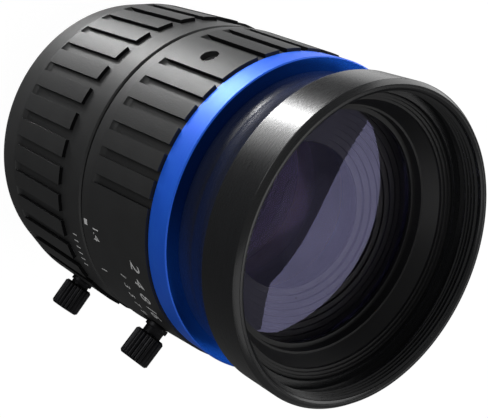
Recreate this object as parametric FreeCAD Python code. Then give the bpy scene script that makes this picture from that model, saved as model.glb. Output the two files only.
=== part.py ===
import FreeCAD, Part
import math
import os

# Machine vision lens with a one inch C thread.
# Lengths are in millimetres. Z is the optical axis with the front of the lens up, and z = 0 is the
# flange face that meets the camera. Angles are in degrees about Z. The lens is modelled focused at
# infinity with its iris fully open. Every radius grows out of the camera thread wall by wall, and
# every height is stacked up from the flange, so that one changed size carries its neighbours along.

# Clearances and edges
RUNNING = 0.05            # radial, between rings that turn on each other
SLIDING = 0.07            # radial, between the sliding barrel and what guides it
SCREWED = 0.02            # radial, between screwed or cemented pieces
END_PLAY = 0.1            # axial, between pieces that turn against each other
FREE_GAP = 0.3            # between pieces that pass without touching
RING_EDGE = 0.2           # chamfer on turned rings
CUT_MARGIN = 1.0          # how far a cut runs past the face that it breaks

# Camera mount
MOUNT_THREAD_RADIUS = 12.7
MOUNT_THREAD_LENGTH = 4.0
MOUNT_THREAD_CHAMFER = 0.4
MOUNT_THREAD_WALL = 1.5
FLANGE_LAND = 2.5
FLANGE_HEIGHT = 3.4
SHOULDER_HEIGHT = 2.5
SHOULDER_STEP = 0.65
FIXED_TUBE_WALL = 1.18

# Rear cell
CELL_TAIL_WALL = 1.28
REAR_CELL_WALL = 1.98
REAR_CELL_AIR = 1.8
REAR_CELL_FLANGE = 5.0
REAR_CELL_STEP_GAP = 0.5
REAR_CELL_TAIL_LENGTH = 4.48
CELL_SHOULDER_THICKNESS = 1.6
CELL_SHOULDER_LIP = 0.7
RETAINER_HEIGHT = 2.6
RETAINER_WIDTH = 1.1
SPACER_WIDTH = 0.9
SPACER_HEIGHT = 1.9
TAIL_AIR = 0.25
REAR_RING_HEIGHT = 2.6

# Focus ring, from its rear end forward
FOCUS_REAR_GAP = 0.8
FOCUS_TAPER_LENGTH = 4.9
FOCUS_PAD_LENGTH = 12.9
FOCUS_BAND_LENGTH = 4.65
FOCUS_WALL = 2.55
FOCUS_PAD_RISE = 0.5
FOCUS_TAPER_DROP = 0.75
FOCUS_SLOT_COUNT = 37
FOCUS_SLOT_WIDTH = 1.3
FOCUS_SLOT_START = 183.05
FOCUS_RIB_HEIGHT = 2.0
FOCUS_TRAVEL = 4.4

# Pieces inside the focus ring
NUT_HEIGHT = 2.2
NUT_NOTCH = 1.2
NUT_NOTCH_COUNT = 4
GUIDE_SCREW_ABOVE_NUT = 2.2
GUIDE_SCREW_RADIUS = 1.1
GUIDE_TIP_RADIUS = 0.9
GUIDE_TIP_BITE = 1.05
GUIDE_SCREW_ANGLES = (90.0, 270.0)
DRIVER_SLOT_WIDTH = 0.35
DRIVER_SLOT_DEPTH = 0.4
SLEEVE_SKIRT = 3.9
SLEEVE_RECESS = 0.2
SLEEVE_BEHIND_GAP = 0.9

# Sliding barrel that carries the glass, the iris and the front
BARREL_WALL = 2.15
BARREL_STOP_GAP = 0.2
RING_GAP = 0.3
COLLAR_STEP = 0.95
COLLAR_HEIGHT = 1.4
FRONT_THREAD_STEP = 0.75
FRONT_WALL = 0.9
BARREL_ABOVE_LIP = 1.42

# Iris ring
IRIS_BAND_LENGTH = 2.15
IRIS_RING_LENGTH = 14.05
IRIS_RING_WALL = 2.85
IRIS_PAD_RISE = 0.25
IRIS_SLOT_DEPTH = 0.65
IRIS_SLOT_WIDTH = 1.18
IRIS_SLOT_PITCH = 9.25
IRIS_SLOT_COUNT = 29
IRIS_SLOT_LAST = 250.75
IRIS_WIDE_PAD = 6
IRIS_TURN = 54.0

# Iris, with its blades stacked one above the other on the barrel's inner floor
IRIS_FLOOR_ABOVE_COLLAR = 3.65
IRIS_FLOOR_THICKNESS = 3.0
PIVOT_INSET = 1.8
PIVOT_PIN_RADIUS = 0.45
PIVOT_PIN_LENGTH = 0.9
PIVOT_EAR_RADIUS = 0.95
BLADE_COUNT = 6
BLADE_THICKNESS = 0.12
BLADE_PITCH = 0.2
BLADE_INSET = 1.3
BLADE_WIDTH = 4.7
BLADE_SPAN = 128.0
BLADE_SWING = 27.0
STOP_MARGIN = 0.2
DRIVE_ARM = 2.9
DRIVE_PIN_RADIUS = 0.4
DRIVE_EAR_RADIUS = 0.65
CAM_PIN_DEPTH = 0.7
CAM_SLOT_PLAY = 0.1
CAM_SLOT_STEPS = 8
CAM_SLOT_STRIDE = 0.01
CAM_WALL = 0.33
CAM_PLATE_HEIGHT = 1.6
CAM_BORE_MARGIN = 1.3
CAM_RIM_WIDTH = 2.23
IRIS_NUT_HEIGHT = 1.6
IRIS_NUT_WIDTH = 3.9
DRIVE_SCREW_ANGLE = 195.25
DRIVE_SCREW_RADIUS = 1.15
DRIVE_TIP_RADIUS = 0.75
DRIVE_TIP_BITE = 1.03
DRIVE_SCREW_RECESS = 0.5
HEX_SOCKET_WIDTH = 0.9
HEX_SOCKET_DEPTH = 1.0

# Accent ring and hood
ACCENT_STEP = 0.95
ACCENT_LENGTH = 3.7
ACCENT_EDGE = 0.15
NECK_WALL = 1.08
NECK_LENGTH = 2.4
FLARE_LENGTH = 4.1
FLARE_HOLLOW = 0.12
HOOD_WALL = 1.0
HOOD_CHAMFER_WIDTH = 0.5
HOOD_CHAMFER_HEIGHT = 0.66
HOOD_LEDGE_STEP = 0.4
HOOD_LEDGE_RISE = 0.46
FILTER_THREAD_STEP = 0.9
FILTER_THREAD_LENGTH = 2.9
FILTER_LEAD_IN = 0.3
UNDERCUT_DEPTH = 0.2
UNDERCUT_WIDTH = 0.9

# Glass, from the front: thickness where it is thinnest, rear curve and front curve (a negative curve
# is hollow)
LENS_1 = (3.963, -140.0, 42.0)
LENS_2 = (1.445, -90.0, 60.0)
LENS_3 = (2.2, -26.0, -55.0)
CEMENTED_CURVE = 30.0
LENS_4 = (1.37, CEMENTED_CURVE, 26.0)
LENS_5 = (1.8, -45.0, -CEMENTED_CURVE)
LENS_6 = (1.73, 48.0, 36.0)
LENS_7 = (1.26, 60.0, 40.0)
LENS_1_INSET = 1.4
LENS_2_INSET = 3.7
REAR_GLASS_STEP = 0.8

# Front cell, its baffle and the rings that hold the front glass
CELL_WALL_FLOOR = 1.2
CELL_DEPTH = 5.22
CELL_ABOVE_SEAT = 3.4
LENS_2_RIM = 1.6
LENS_1_RIM = 0.85
LENS_2_RING_HEIGHT = 0.6
BAFFLE_STEPS = 7
BAFFLE_LAND = 0.4
BAFFLE_STEP_WIDTH = 0.35
BAFFLE_STEP_HEIGHT = 0.36
FRONT_RING_FLANGE = 3.1
FRONT_RING_STEPS = 3
FRONT_RING_STEP_WIDTH = 0.33
FRONT_RING_STEP_HEIGHT = 0.33
FRONT_RING_LIP_OVERLAP = 0.3
FRONT_RING_LIP_HEIGHT = 0.5
FRONT_RING_SKIRT_GAP = 0.3
FRONT_RING_CONE_GAP = 0.3
FRONT_RING_CONE_WIDTH = 1.0
FRONT_RING_CONE_HEIGHT = 1.9

# Lock screws, with their axes square to the optical axis
LOCK_ABOVE_GUIDE_SCREW = 2.5
LOCK_FOCUS_ANGLE = 311.5
LOCK_IRIS_ANGLE = 308.0
LOCK_SHANK_RADIUS = 1.0
LOCK_TIP_GAP = 0.1
LOCK_SEAT_RADIUS = 2.3
LOCK_SEAT_DEPTH = 0.25
LOCK_COLLAR_RADIUS = 1.55
LOCK_COLLAR_HEIGHT = 0.6
LOCK_GROOVE_RADIUS = 1.3
LOCK_FOCUS_GROOVE = 0.4
LOCK_IRIS_GROOVE = 0.9
LOCK_HEAD_RADIUS = 2.05
LOCK_HEAD_LENGTH = 3.8
LOCK_HEAD_CHAMFER = 0.25
LOCK_RIDGES = 18
LOCK_RIDGE_DEPTH = 0.22

# Radii, from the camera thread in to the tail glass and then out to the focus ring
MOUNT_BORE_RADIUS = MOUNT_THREAD_RADIUS - MOUNT_THREAD_WALL
FLANGE_RADIUS = MOUNT_THREAD_RADIUS + FLANGE_LAND
CELL_TAIL_RADIUS = MOUNT_BORE_RADIUS - FREE_GAP
TAIL_GLASS_RADIUS = CELL_TAIL_RADIUS - CELL_TAIL_WALL - SCREWED
CELL_SHOULDER_RADIUS = TAIL_GLASS_RADIUS - CELL_SHOULDER_LIP
REAR_GLASS_RADIUS = TAIL_GLASS_RADIUS + REAR_GLASS_STEP
REAR_CELL_RADIUS = REAR_GLASS_RADIUS + SCREWED + REAR_CELL_WALL
BARREL_REAR_BORE = REAR_CELL_RADIUS + REAR_CELL_AIR
BARREL_RADIUS = BARREL_REAR_BORE + BARREL_WALL
GUIDE_TIP_REACH = BARREL_RADIUS - GUIDE_TIP_BITE
FIXED_TUBE_BORE = BARREL_RADIUS + SLIDING
FIXED_TUBE_RADIUS = FIXED_TUBE_BORE + FIXED_TUBE_WALL
SHOULDER_RADIUS = FIXED_TUBE_RADIUS + SHOULDER_STEP
FOCUS_RIB_BORE = FIXED_TUBE_RADIUS + RUNNING
FOCUS_BORE = SHOULDER_RADIUS + RUNNING
NUT_RADIUS = FOCUS_BORE - FREE_GAP
FOCUS_BAND_RADIUS = FOCUS_BORE + FOCUS_WALL
FOCUS_PAD_RADIUS = FOCUS_BAND_RADIUS + FOCUS_PAD_RISE
FOCUS_REAR_RADIUS = FOCUS_PAD_RADIUS - FOCUS_TAPER_DROP

# Radii of the front, from the iris ring in to the stop and out again to the hood
IRIS_BAND_RADIUS = FOCUS_BAND_RADIUS
IRIS_PAD_RADIUS = IRIS_BAND_RADIUS + IRIS_PAD_RISE
IRIS_SLOT_FLOOR = IRIS_PAD_RADIUS - IRIS_SLOT_DEPTH
IRIS_RING_BORE = IRIS_BAND_RADIUS - IRIS_RING_WALL
IRIS_SEAT_RADIUS = IRIS_RING_BORE - RUNNING
COLLAR_RADIUS = IRIS_SEAT_RADIUS + COLLAR_STEP
FRONT_THREAD_RADIUS = IRIS_SEAT_RADIUS - FRONT_THREAD_STEP
CHAMBER_RADIUS = FRONT_THREAD_RADIUS - FRONT_WALL
PIVOT_CIRCLE = CHAMBER_RADIUS - PIVOT_INSET
BLADE_OUTER_RADIUS = PIVOT_CIRCLE - BLADE_INSET
BLADE_INNER_RADIUS = BLADE_OUTER_RADIUS - BLADE_WIDTH
STOP_RADIUS = BLADE_INNER_RADIUS - STOP_MARGIN
CAM_RADIUS = CHAMBER_RADIUS - SLIDING
CAM_RIM_RADIUS = CAM_RADIUS - CAM_RIM_WIDTH
CAM_INNER_RADIUS = STOP_RADIUS + CAM_BORE_MARGIN
DRIVE_TIP_REACH = CAM_RADIUS - DRIVE_TIP_BITE
IRIS_NUT_BORE = CHAMBER_RADIUS - IRIS_NUT_WIDTH
LENS_1_RADIUS = CHAMBER_RADIUS - LENS_1_INSET
LENS_2_RADIUS = LENS_1_RADIUS - LENS_2_INSET
FRONT_RING_LIP = LENS_1_RADIUS - FRONT_RING_LIP_OVERLAP
FRONT_RING_SKIRT_BORE = LENS_1_RADIUS + FRONT_RING_SKIRT_GAP
FRONT_RING_CONE_BASE = FRONT_RING_SKIRT_BORE + FRONT_RING_CONE_GAP
FRONT_RING_CONE_TOP = FRONT_RING_CONE_BASE + FRONT_RING_CONE_WIDTH
ACCENT_RADIUS = IRIS_BAND_RADIUS - ACCENT_STEP
NECK_RADIUS = FRONT_THREAD_RADIUS + SCREWED + NECK_WALL
HOOD_LEDGE_RADIUS = FRONT_THREAD_RADIUS + HOOD_LEDGE_STEP
FILTER_THREAD_RADIUS = HOOD_LEDGE_RADIUS + FILTER_THREAD_STEP
HOOD_RADIUS = FILTER_THREAD_RADIUS + HOOD_WALL

# Heights of the rear part, from the flange forward
SHOULDER_TOP = FLANGE_HEIGHT + SHOULDER_HEIGHT
INNER_STOP = SHOULDER_TOP + END_PLAY
BARREL_REAR = INNER_STOP + BARREL_STOP_GAP
REAR_CELL_STEP = INNER_STOP + REAR_CELL_STEP_GAP
RIB_START = SHOULDER_TOP + END_PLAY
RIB_END = RIB_START + FOCUS_RIB_HEIGHT
NUT_REAR = RIB_END + END_PLAY
GUIDE_SCREW_HEIGHT = NUT_REAR + NUT_HEIGHT + GUIDE_SCREW_ABOVE_NUT
LOCK_FOCUS_HEIGHT = GUIDE_SCREW_HEIGHT + LOCK_ABOVE_GUIDE_SCREW
SLEEVE_REAR = LOCK_FOCUS_HEIGHT + LOCK_SHANK_RADIUS + SLEEVE_BEHIND_GAP
FIXED_TUBE_TOP = SLEEVE_REAR + SLEEVE_SKIRT - FREE_GAP
FOCUS_REAR = FLANGE_HEIGHT + FOCUS_REAR_GAP
FOCUS_PAD_START = FOCUS_REAR + FOCUS_TAPER_LENGTH
FOCUS_PAD_END = FOCUS_PAD_START + FOCUS_PAD_LENGTH
FOCUS_FRONT = FOCUS_PAD_END + FOCUS_BAND_LENGTH
SLEEVE_FRONT = FOCUS_FRONT - SLEEVE_RECESS

# Heights of the front, from the collar forward
COLLAR_REAR = FOCUS_FRONT + RING_GAP
COLLAR_FRONT = COLLAR_REAR + COLLAR_HEIGHT
IRIS_RING_REAR = COLLAR_REAR
IRIS_RING_FRONT = IRIS_RING_REAR + IRIS_RING_LENGTH
ACCENT_REAR = IRIS_RING_FRONT + END_PLAY
ACCENT_FRONT = ACCENT_REAR + ACCENT_LENGTH
FLARE_START = ACCENT_FRONT + NECK_LENGTH
FLARE_END = FLARE_START + FLARE_LENGTH
IRIS_FLOOR = COLLAR_FRONT + IRIS_FLOOR_ABOVE_COLLAR
FLOOR_REAR = IRIS_FLOOR - IRIS_FLOOR_THICKNESS
BLADE_BASE = IRIS_FLOOR + END_PLAY
STACK_TOP = BLADE_BASE + (BLADE_COUNT - 1) * BLADE_PITCH + BLADE_THICKNESS
CAM_REAR = STACK_TOP + END_PLAY
CAM_SLOT_TOP = CAM_REAR + CAM_PIN_DEPTH + END_PLAY
DRIVE_SCREW_HEIGHT = CAM_SLOT_TOP + CAM_WALL + DRIVE_TIP_RADIUS
LOCK_IRIS_HEIGHT = DRIVE_SCREW_HEIGHT
CAM_FRONT = DRIVE_SCREW_HEIGHT + DRIVE_TIP_RADIUS + CAM_WALL
IRIS_NUT_REAR = CAM_FRONT + END_PLAY
CELL_REAR = IRIS_NUT_REAR + IRIS_NUT_HEIGHT + END_PLAY
CELL_FLOOR = CELL_REAR + CELL_WALL_FLOOR
LENS_1_SEAT = CELL_FLOOR + CELL_DEPTH
FRONT_CELL_TOP = LENS_1_SEAT + CELL_ABOVE_SEAT
REAR_CELL_FRONT = FLOOR_REAR - END_PLAY


def turned(points):
    """A solid of revolution about Z from (radius, z) corners."""
    corners = [FreeCAD.Vector(r, 0, z) for r, z in points]
    face = Part.Face(Part.makePolygon(corners + corners[:1]))
    return face.revolve(FreeCAD.Vector(0, 0, 0), FreeCAD.Vector(0, 0, 1), 360)


def tube(outer, inner, bottom, top):
    return turned([(inner, bottom), (outer, bottom), (outer, top), (inner, top)])


def chamfered_tube(outer, inner, bottom, top, edge):
    return turned([(inner, bottom), (outer - edge, bottom), (outer, bottom + edge),
                   (outer, top - edge), (outer - edge, top), (inner, top)])


def at_angle(shape, angle):
    """A copy turned about Z."""
    copy = shape.copy()
    copy.rotate(FreeCAD.Vector(0, 0, 0), FreeCAD.Vector(0, 0, 1), angle)
    return copy


def radial_pin(radius, inner_reach, outer_reach, height, angle):
    """A round pin whose axis points out from the optical axis."""
    start = FreeCAD.Vector(inner_reach, 0, height)
    pin = Part.makeCylinder(radius, outer_reach - inner_reach, start, FreeCAD.Vector(1, 0, 0))
    return at_angle(pin, angle)


def radial_hex(width, inner_reach, outer_reach, height, angle):
    """A six-sided bar along a radius, for a hexagon socket."""
    corner_radius = width / math.sqrt(3)
    corners = [FreeCAD.Vector(inner_reach, corner_radius * math.cos(math.radians(60 * k)),
                              height + corner_radius * math.sin(math.radians(60 * k)))
               for k in range(7)]
    bar = Part.Face(Part.makePolygon(corners)).extrude(FreeCAD.Vector(outer_reach - inner_reach, 0, 0))
    return at_angle(bar, angle)


def sag(curve, radius):
    """How far a spherical face falls away from its crown at a radius."""
    size = abs(curve)
    return math.copysign(size - math.sqrt(size * size - radius * radius), curve)


def sector(reach, start, end, bottom, height):
    """A wedge about Z between two angles, wider than the piece that it cuts."""
    corners = [FreeCAD.Vector(0, 0, bottom)]
    for turn in (start, start + (end - start) / 2, end):
        corners.append(FreeCAD.Vector(reach * math.cos(math.radians(turn)),
                                      reach * math.sin(math.radians(turn)), bottom))
    return Part.Face(Part.makePolygon(corners + corners[:1])).extrude(FreeCAD.Vector(0, 0, height))


class Lens:
    """A ground lens: positive curves bulge outward, negative ones are hollow."""

    def __init__(self, radius, sizes):
        self.radius = radius
        thinnest, self.rear_curve, self.front_curve = sizes
        bulge = sag(self.rear_curve, radius) + sag(self.front_curve, radius)
        self.thickness = thinnest + max(0, bulge)
        self.rear_crown = 0.0

    @property
    def front_crown(self):
        return self.rear_crown + self.thickness

    def rear_z(self, radius):
        return self.rear_crown + sag(self.rear_curve, radius)

    def front_z(self, radius):
        return self.front_crown - sag(self.front_curve, radius)

    def rest_on(self, seat, opening):
        """Sets the lens down on a seat that faces forward."""
        touch = opening if self.rear_curve > 0 else self.radius
        self.rear_crown = seat - sag(self.rear_curve, touch)
        return self

    def hang_under(self, seat, opening):
        """Holds the lens up against a seat that faces the rear."""
        touch = opening if self.front_curve > 0 else self.radius
        self.rear_crown = seat + sag(self.front_curve, touch) - self.thickness
        return self

    def follow(self, other, air):
        """Puts the lens behind another one with this much air between their crowns."""
        self.rear_crown = other.rear_crown - air - self.thickness
        return self

    def front_seat(self, opening):
        """Where a ring of this opening meets the front face."""
        return self.front_z(opening if self.front_curve > 0 else self.radius)

    def rear_seat(self, opening):
        """Where a ring of this opening meets the rear face."""
        return self.rear_z(opening if self.rear_curve > 0 else self.radius)

    def solid(self):
        def face_arc(height):
            ends = [FreeCAD.Vector(r, 0, height(r)) for r in (0, self.radius / 2, self.radius)]
            return Part.Arc(*ends).toShape(), ends[0], ends[2]
        rear, rear_centre, rear_rim = face_arc(self.rear_z)
        front, front_centre, front_rim = face_arc(self.front_z)
        outline = Part.Wire([Part.LineSegment(front_centre, rear_centre).toShape(), rear,
                             Part.LineSegment(rear_rim, front_rim).toShape(), front])
        return Part.Face(outline).revolve(FreeCAD.Vector(0, 0, 0), FreeCAD.Vector(0, 0, 1), 360)


# Where each lens sits: the front pair on the floor of its cell, the rear group hung from its retainer
lens_2 = Lens(LENS_2_RADIUS, LENS_2).rest_on(CELL_FLOOR, LENS_2_RADIUS - LENS_2_RIM)
lens_1 = Lens(LENS_1_RADIUS, LENS_1).rest_on(LENS_1_SEAT, LENS_1_RADIUS - LENS_1_RIM)
front_lip_seat = lens_1.front_seat(FRONT_RING_LIP)
spacer_bore = REAR_GLASS_RADIUS - SPACER_WIDTH
tail_spacer_bore = TAIL_GLASS_RADIUS - SPACER_WIDTH
lens_3 = Lens(REAR_GLASS_RADIUS, LENS_3).hang_under(REAR_CELL_FRONT - RETAINER_HEIGHT,
                                                    REAR_GLASS_RADIUS - RETAINER_WIDTH)
lens_3_seat = lens_3.rear_seat(spacer_bore)
rear_spacer_seat = lens_3_seat - SPACER_HEIGHT
lens_4 = Lens(REAR_GLASS_RADIUS, LENS_4).hang_under(rear_spacer_seat, spacer_bore)
lens_5 = Lens(REAR_GLASS_RADIUS, LENS_5).follow(lens_4, SCREWED)
cell_shoulder = lens_5.rear_seat(CELL_SHOULDER_RADIUS)
shoulder_rear = cell_shoulder - CELL_SHOULDER_THICKNESS
lens_6 = Lens(TAIL_GLASS_RADIUS, LENS_6).hang_under(shoulder_rear, CELL_SHOULDER_RADIUS)
lens_7 = Lens(TAIL_GLASS_RADIUS, LENS_7).follow(lens_6, TAIL_AIR)
rear_ring_seat = lens_7.rear_seat(TAIL_GLASS_RADIUS - RETAINER_WIDTH)
rear_ring_bottom = rear_ring_seat - REAR_RING_HEIGHT

# Heights that follow from the glass
CELL_TAIL_END = rear_ring_bottom - REAR_CELL_TAIL_LENGTH
BARREL_FRONT = front_lip_seat + BARREL_ABOVE_LIP
LEDGE_TOP = BARREL_FRONT + FRONT_RING_FLANGE + HOOD_LEDGE_RISE
FILTER_THREAD_END = LEDGE_TOP + UNDERCUT_WIDTH
HOOD_FRONT = FILTER_THREAD_END + FILTER_THREAD_LENGTH


def mount_barrel():
    """Thread, flange and fixed tube in one turned piece, with its two guide screw holes."""
    body = turned([
        (MOUNT_BORE_RADIUS, -MOUNT_THREAD_LENGTH),
        (MOUNT_THREAD_RADIUS - MOUNT_THREAD_CHAMFER, -MOUNT_THREAD_LENGTH),
        (MOUNT_THREAD_RADIUS, MOUNT_THREAD_CHAMFER - MOUNT_THREAD_LENGTH),
        (MOUNT_THREAD_RADIUS, 0),
        (FLANGE_RADIUS - RING_EDGE, 0),
        (FLANGE_RADIUS, RING_EDGE),
        (FLANGE_RADIUS, FLANGE_HEIGHT),
        (SHOULDER_RADIUS, FLANGE_HEIGHT),
        (SHOULDER_RADIUS, SHOULDER_TOP),
        (FIXED_TUBE_RADIUS, SHOULDER_TOP),
        (FIXED_TUBE_RADIUS, FIXED_TUBE_TOP),
        (FIXED_TUBE_BORE, FIXED_TUBE_TOP),
        (FIXED_TUBE_BORE, INNER_STOP),
        (MOUNT_BORE_RADIUS, INNER_STOP)])
    for angle in GUIDE_SCREW_ANGLES:
        hole = radial_pin(GUIDE_SCREW_RADIUS + SCREWED, FIXED_TUBE_BORE - CUT_MARGIN,
                          FIXED_TUBE_RADIUS + CUT_MARGIN, GUIDE_SCREW_HEIGHT, angle)
        body = body.cut(hole)
    return body


def focus_retaining_ring():
    """Ring nut on the fixed tube, with notches for a pin wrench."""
    nut = tube(NUT_RADIUS, FIXED_TUBE_RADIUS + SCREWED, NUT_REAR, NUT_REAR + NUT_HEIGHT)
    notch = Part.makeBox(NUT_RADIUS, NUT_NOTCH, NUT_HEIGHT,
                         FreeCAD.Vector(0, -NUT_NOTCH / 2, NUT_REAR + NUT_HEIGHT / 2))
    for k in range(NUT_NOTCH_COUNT):
        nut = nut.cut(at_angle(notch, 360 / NUT_NOTCH_COUNT * (k + 0.5)))
    return nut


def guide_screw(angle):
    """Slotted screw in the fixed tube whose tip runs in the barrel's groove."""
    shoulder = FIXED_TUBE_BORE + SCREWED
    outer = FIXED_TUBE_RADIUS - SCREWED
    screw = radial_pin(GUIDE_SCREW_RADIUS, shoulder, outer, GUIDE_SCREW_HEIGHT, 0)
    screw = screw.fuse(radial_pin(GUIDE_TIP_RADIUS, GUIDE_TIP_REACH, shoulder, GUIDE_SCREW_HEIGHT, 0))
    half_length = GUIDE_SCREW_RADIUS + CUT_MARGIN
    groove = Part.makeBox(DRIVER_SLOT_DEPTH, 2 * half_length, DRIVER_SLOT_WIDTH,
                          FreeCAD.Vector(outer - DRIVER_SLOT_DEPTH, -half_length,
                                         GUIDE_SCREW_HEIGHT - DRIVER_SLOT_WIDTH / 2))
    return at_angle(screw.cut(groove), angle)


def lock_screw_hole(tube_radius, ring_radius, height, angle):
    """Clear hole through a ring with a flat spot face for the screw's collar."""
    outer = ring_radius + CUT_MARGIN
    hole = radial_pin(LOCK_SHANK_RADIUS + RUNNING, tube_radius, outer, height, angle)
    seat = radial_pin(LOCK_SEAT_RADIUS, ring_radius - LOCK_SEAT_DEPTH, outer, height, angle)
    return hole.fuse(seat)


def clear_of(angle, centre, reach):
    """True when an angle is further than reach from a centre angle."""
    return abs((angle - centre + 180) % 360 - 180) > reach


def focus_ring():
    """Grip ring with raised pads between axial slots, open to the smooth front band."""
    ring = turned([
        (FOCUS_BORE, FOCUS_REAR),
        (FOCUS_REAR_RADIUS - RING_EDGE, FOCUS_REAR),
        (FOCUS_REAR_RADIUS, FOCUS_REAR + RING_EDGE),
        (FOCUS_PAD_RADIUS, FOCUS_PAD_START),
        (FOCUS_PAD_RADIUS, FOCUS_PAD_END),
        (FOCUS_BAND_RADIUS, FOCUS_PAD_END),
        (FOCUS_BAND_RADIUS, FOCUS_FRONT - RING_EDGE),
        (FOCUS_BAND_RADIUS - RING_EDGE, FOCUS_FRONT),
        (FOCUS_BORE, FOCUS_FRONT),
        (FOCUS_BORE, RIB_END),
        (FOCUS_RIB_BORE, RIB_END),
        (FOCUS_RIB_BORE, RIB_START),
        (FOCUS_BORE, RIB_START)])
    half = FOCUS_SLOT_WIDTH / 2
    reach = FOCUS_PAD_RISE + CUT_MARGIN
    rounded_end = Part.makeCylinder(half, reach,
                                    FreeCAD.Vector(FOCUS_BAND_RADIUS, 0, FOCUS_PAD_START + half),
                                    FreeCAD.Vector(1, 0, 0))
    run = Part.makeBox(reach, FOCUS_SLOT_WIDTH, FOCUS_PAD_LENGTH - half + RING_EDGE,
                       FreeCAD.Vector(FOCUS_BAND_RADIUS, -half, FOCUS_PAD_START + half))
    slot = run.fuse(rounded_end)
    pitch = 360 / FOCUS_SLOT_COUNT
    angles = [FOCUS_SLOT_START + pitch * k for k in range(FOCUS_SLOT_COUNT)]
    spared = [a for a in angles if clear_of(a, LOCK_FOCUS_ANGLE, pitch / 2)]
    ring = ring.cut(Part.makeCompound([at_angle(slot, a) for a in spared]))
    return ring.cut(lock_screw_hole(FIXED_TUBE_RADIUS, FOCUS_PAD_RADIUS, LOCK_FOCUS_HEIGHT,
                                    LOCK_FOCUS_ANGLE))


def helicoid_sleeve():
    """Sleeve fixed in the focus ring: its skirt runs on the fixed tube, its thread drives the barrel."""
    outer = FOCUS_BORE - SCREWED
    return turned([
        (FOCUS_RIB_BORE, SLEEVE_REAR),
        (outer, SLEEVE_REAR),
        (outer, SLEEVE_FRONT),
        (FIXED_TUBE_BORE, SLEEVE_FRONT),
        (FIXED_TUBE_BORE, SLEEVE_REAR + SLEEVE_SKIRT),
        (FOCUS_RIB_BORE, SLEEVE_REAR + SLEEVE_SKIRT)])


def knurled_head(bottom, top):
    """Straight-knurled screw head about X, from one reach to another, with turned-off ends."""
    valley = LOCK_HEAD_RADIUS - LOCK_RIDGE_DEPTH
    corners = []
    for k in range(2 * LOCK_RIDGES):
        radius = LOCK_HEAD_RADIUS if k % 2 == 0 else valley
        turn = math.pi * k / LOCK_RIDGES
        corners.append(FreeCAD.Vector(bottom, radius * math.cos(turn), radius * math.sin(turn)))
    prism = Part.Face(Part.makePolygon(corners + corners[:1])).extrude(FreeCAD.Vector(top - bottom, 0, 0))
    profile = [(bottom, 0), (bottom, LOCK_HEAD_RADIUS - LOCK_HEAD_CHAMFER),
               (bottom + LOCK_HEAD_CHAMFER, LOCK_HEAD_RADIUS), (top - LOCK_HEAD_CHAMFER, LOCK_HEAD_RADIUS),
               (top, LOCK_HEAD_RADIUS - LOCK_HEAD_CHAMFER), (top, 0)]
    points = [FreeCAD.Vector(x, r, 0) for x, r in profile]
    blank = Part.Face(Part.makePolygon(points + points[:1])).revolve(
        FreeCAD.Vector(0, 0, 0), FreeCAD.Vector(1, 0, 0), 360)
    return prism.common(blank)


def lock_screw(tube_radius, ring_radius, groove_length, height, angle):
    """Thumb screw that clamps a ring: tip, collar, groove and knurled head."""
    tip = tube_radius + LOCK_TIP_GAP
    collar = ring_radius - LOCK_SEAT_DEPTH + END_PLAY
    groove = collar + LOCK_COLLAR_HEIGHT
    head = groove + groove_length
    screw = radial_pin(LOCK_SHANK_RADIUS, tip, collar, 0, 0)
    screw = screw.fuse(radial_pin(LOCK_COLLAR_RADIUS, collar, groove, 0, 0))
    screw = screw.fuse(radial_pin(LOCK_GROOVE_RADIUS, groove, head, 0, 0))
    screw = screw.fuse(knurled_head(head, head + LOCK_HEAD_LENGTH))
    screw.translate(FreeCAD.Vector(0, 0, height))
    return at_angle(screw, angle)


def blade_angle(index):
    return 360 / BLADE_COUNT * index


def pivot_place(index):
    turn = math.radians(blade_angle(index))
    return FreeCAD.Vector(PIVOT_CIRCLE * math.cos(turn), PIVOT_CIRCLE * math.sin(turn), 0)


def arc_groove(inner_reach, outer_reach, height, half_width, start, end):
    """A slot with round ends that runs from one angle to another through a wall."""
    block = turned([(inner_reach, height - half_width), (outer_reach, height - half_width),
                    (outer_reach, height + half_width), (inner_reach, height + half_width)])
    groove = block.common(sector(2 * outer_reach, start, end, height - half_width, 2 * half_width))
    for angle in (start, end):
        groove = groove.fuse(radial_pin(half_width, inner_reach, outer_reach, height, angle))
    return groove


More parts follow.
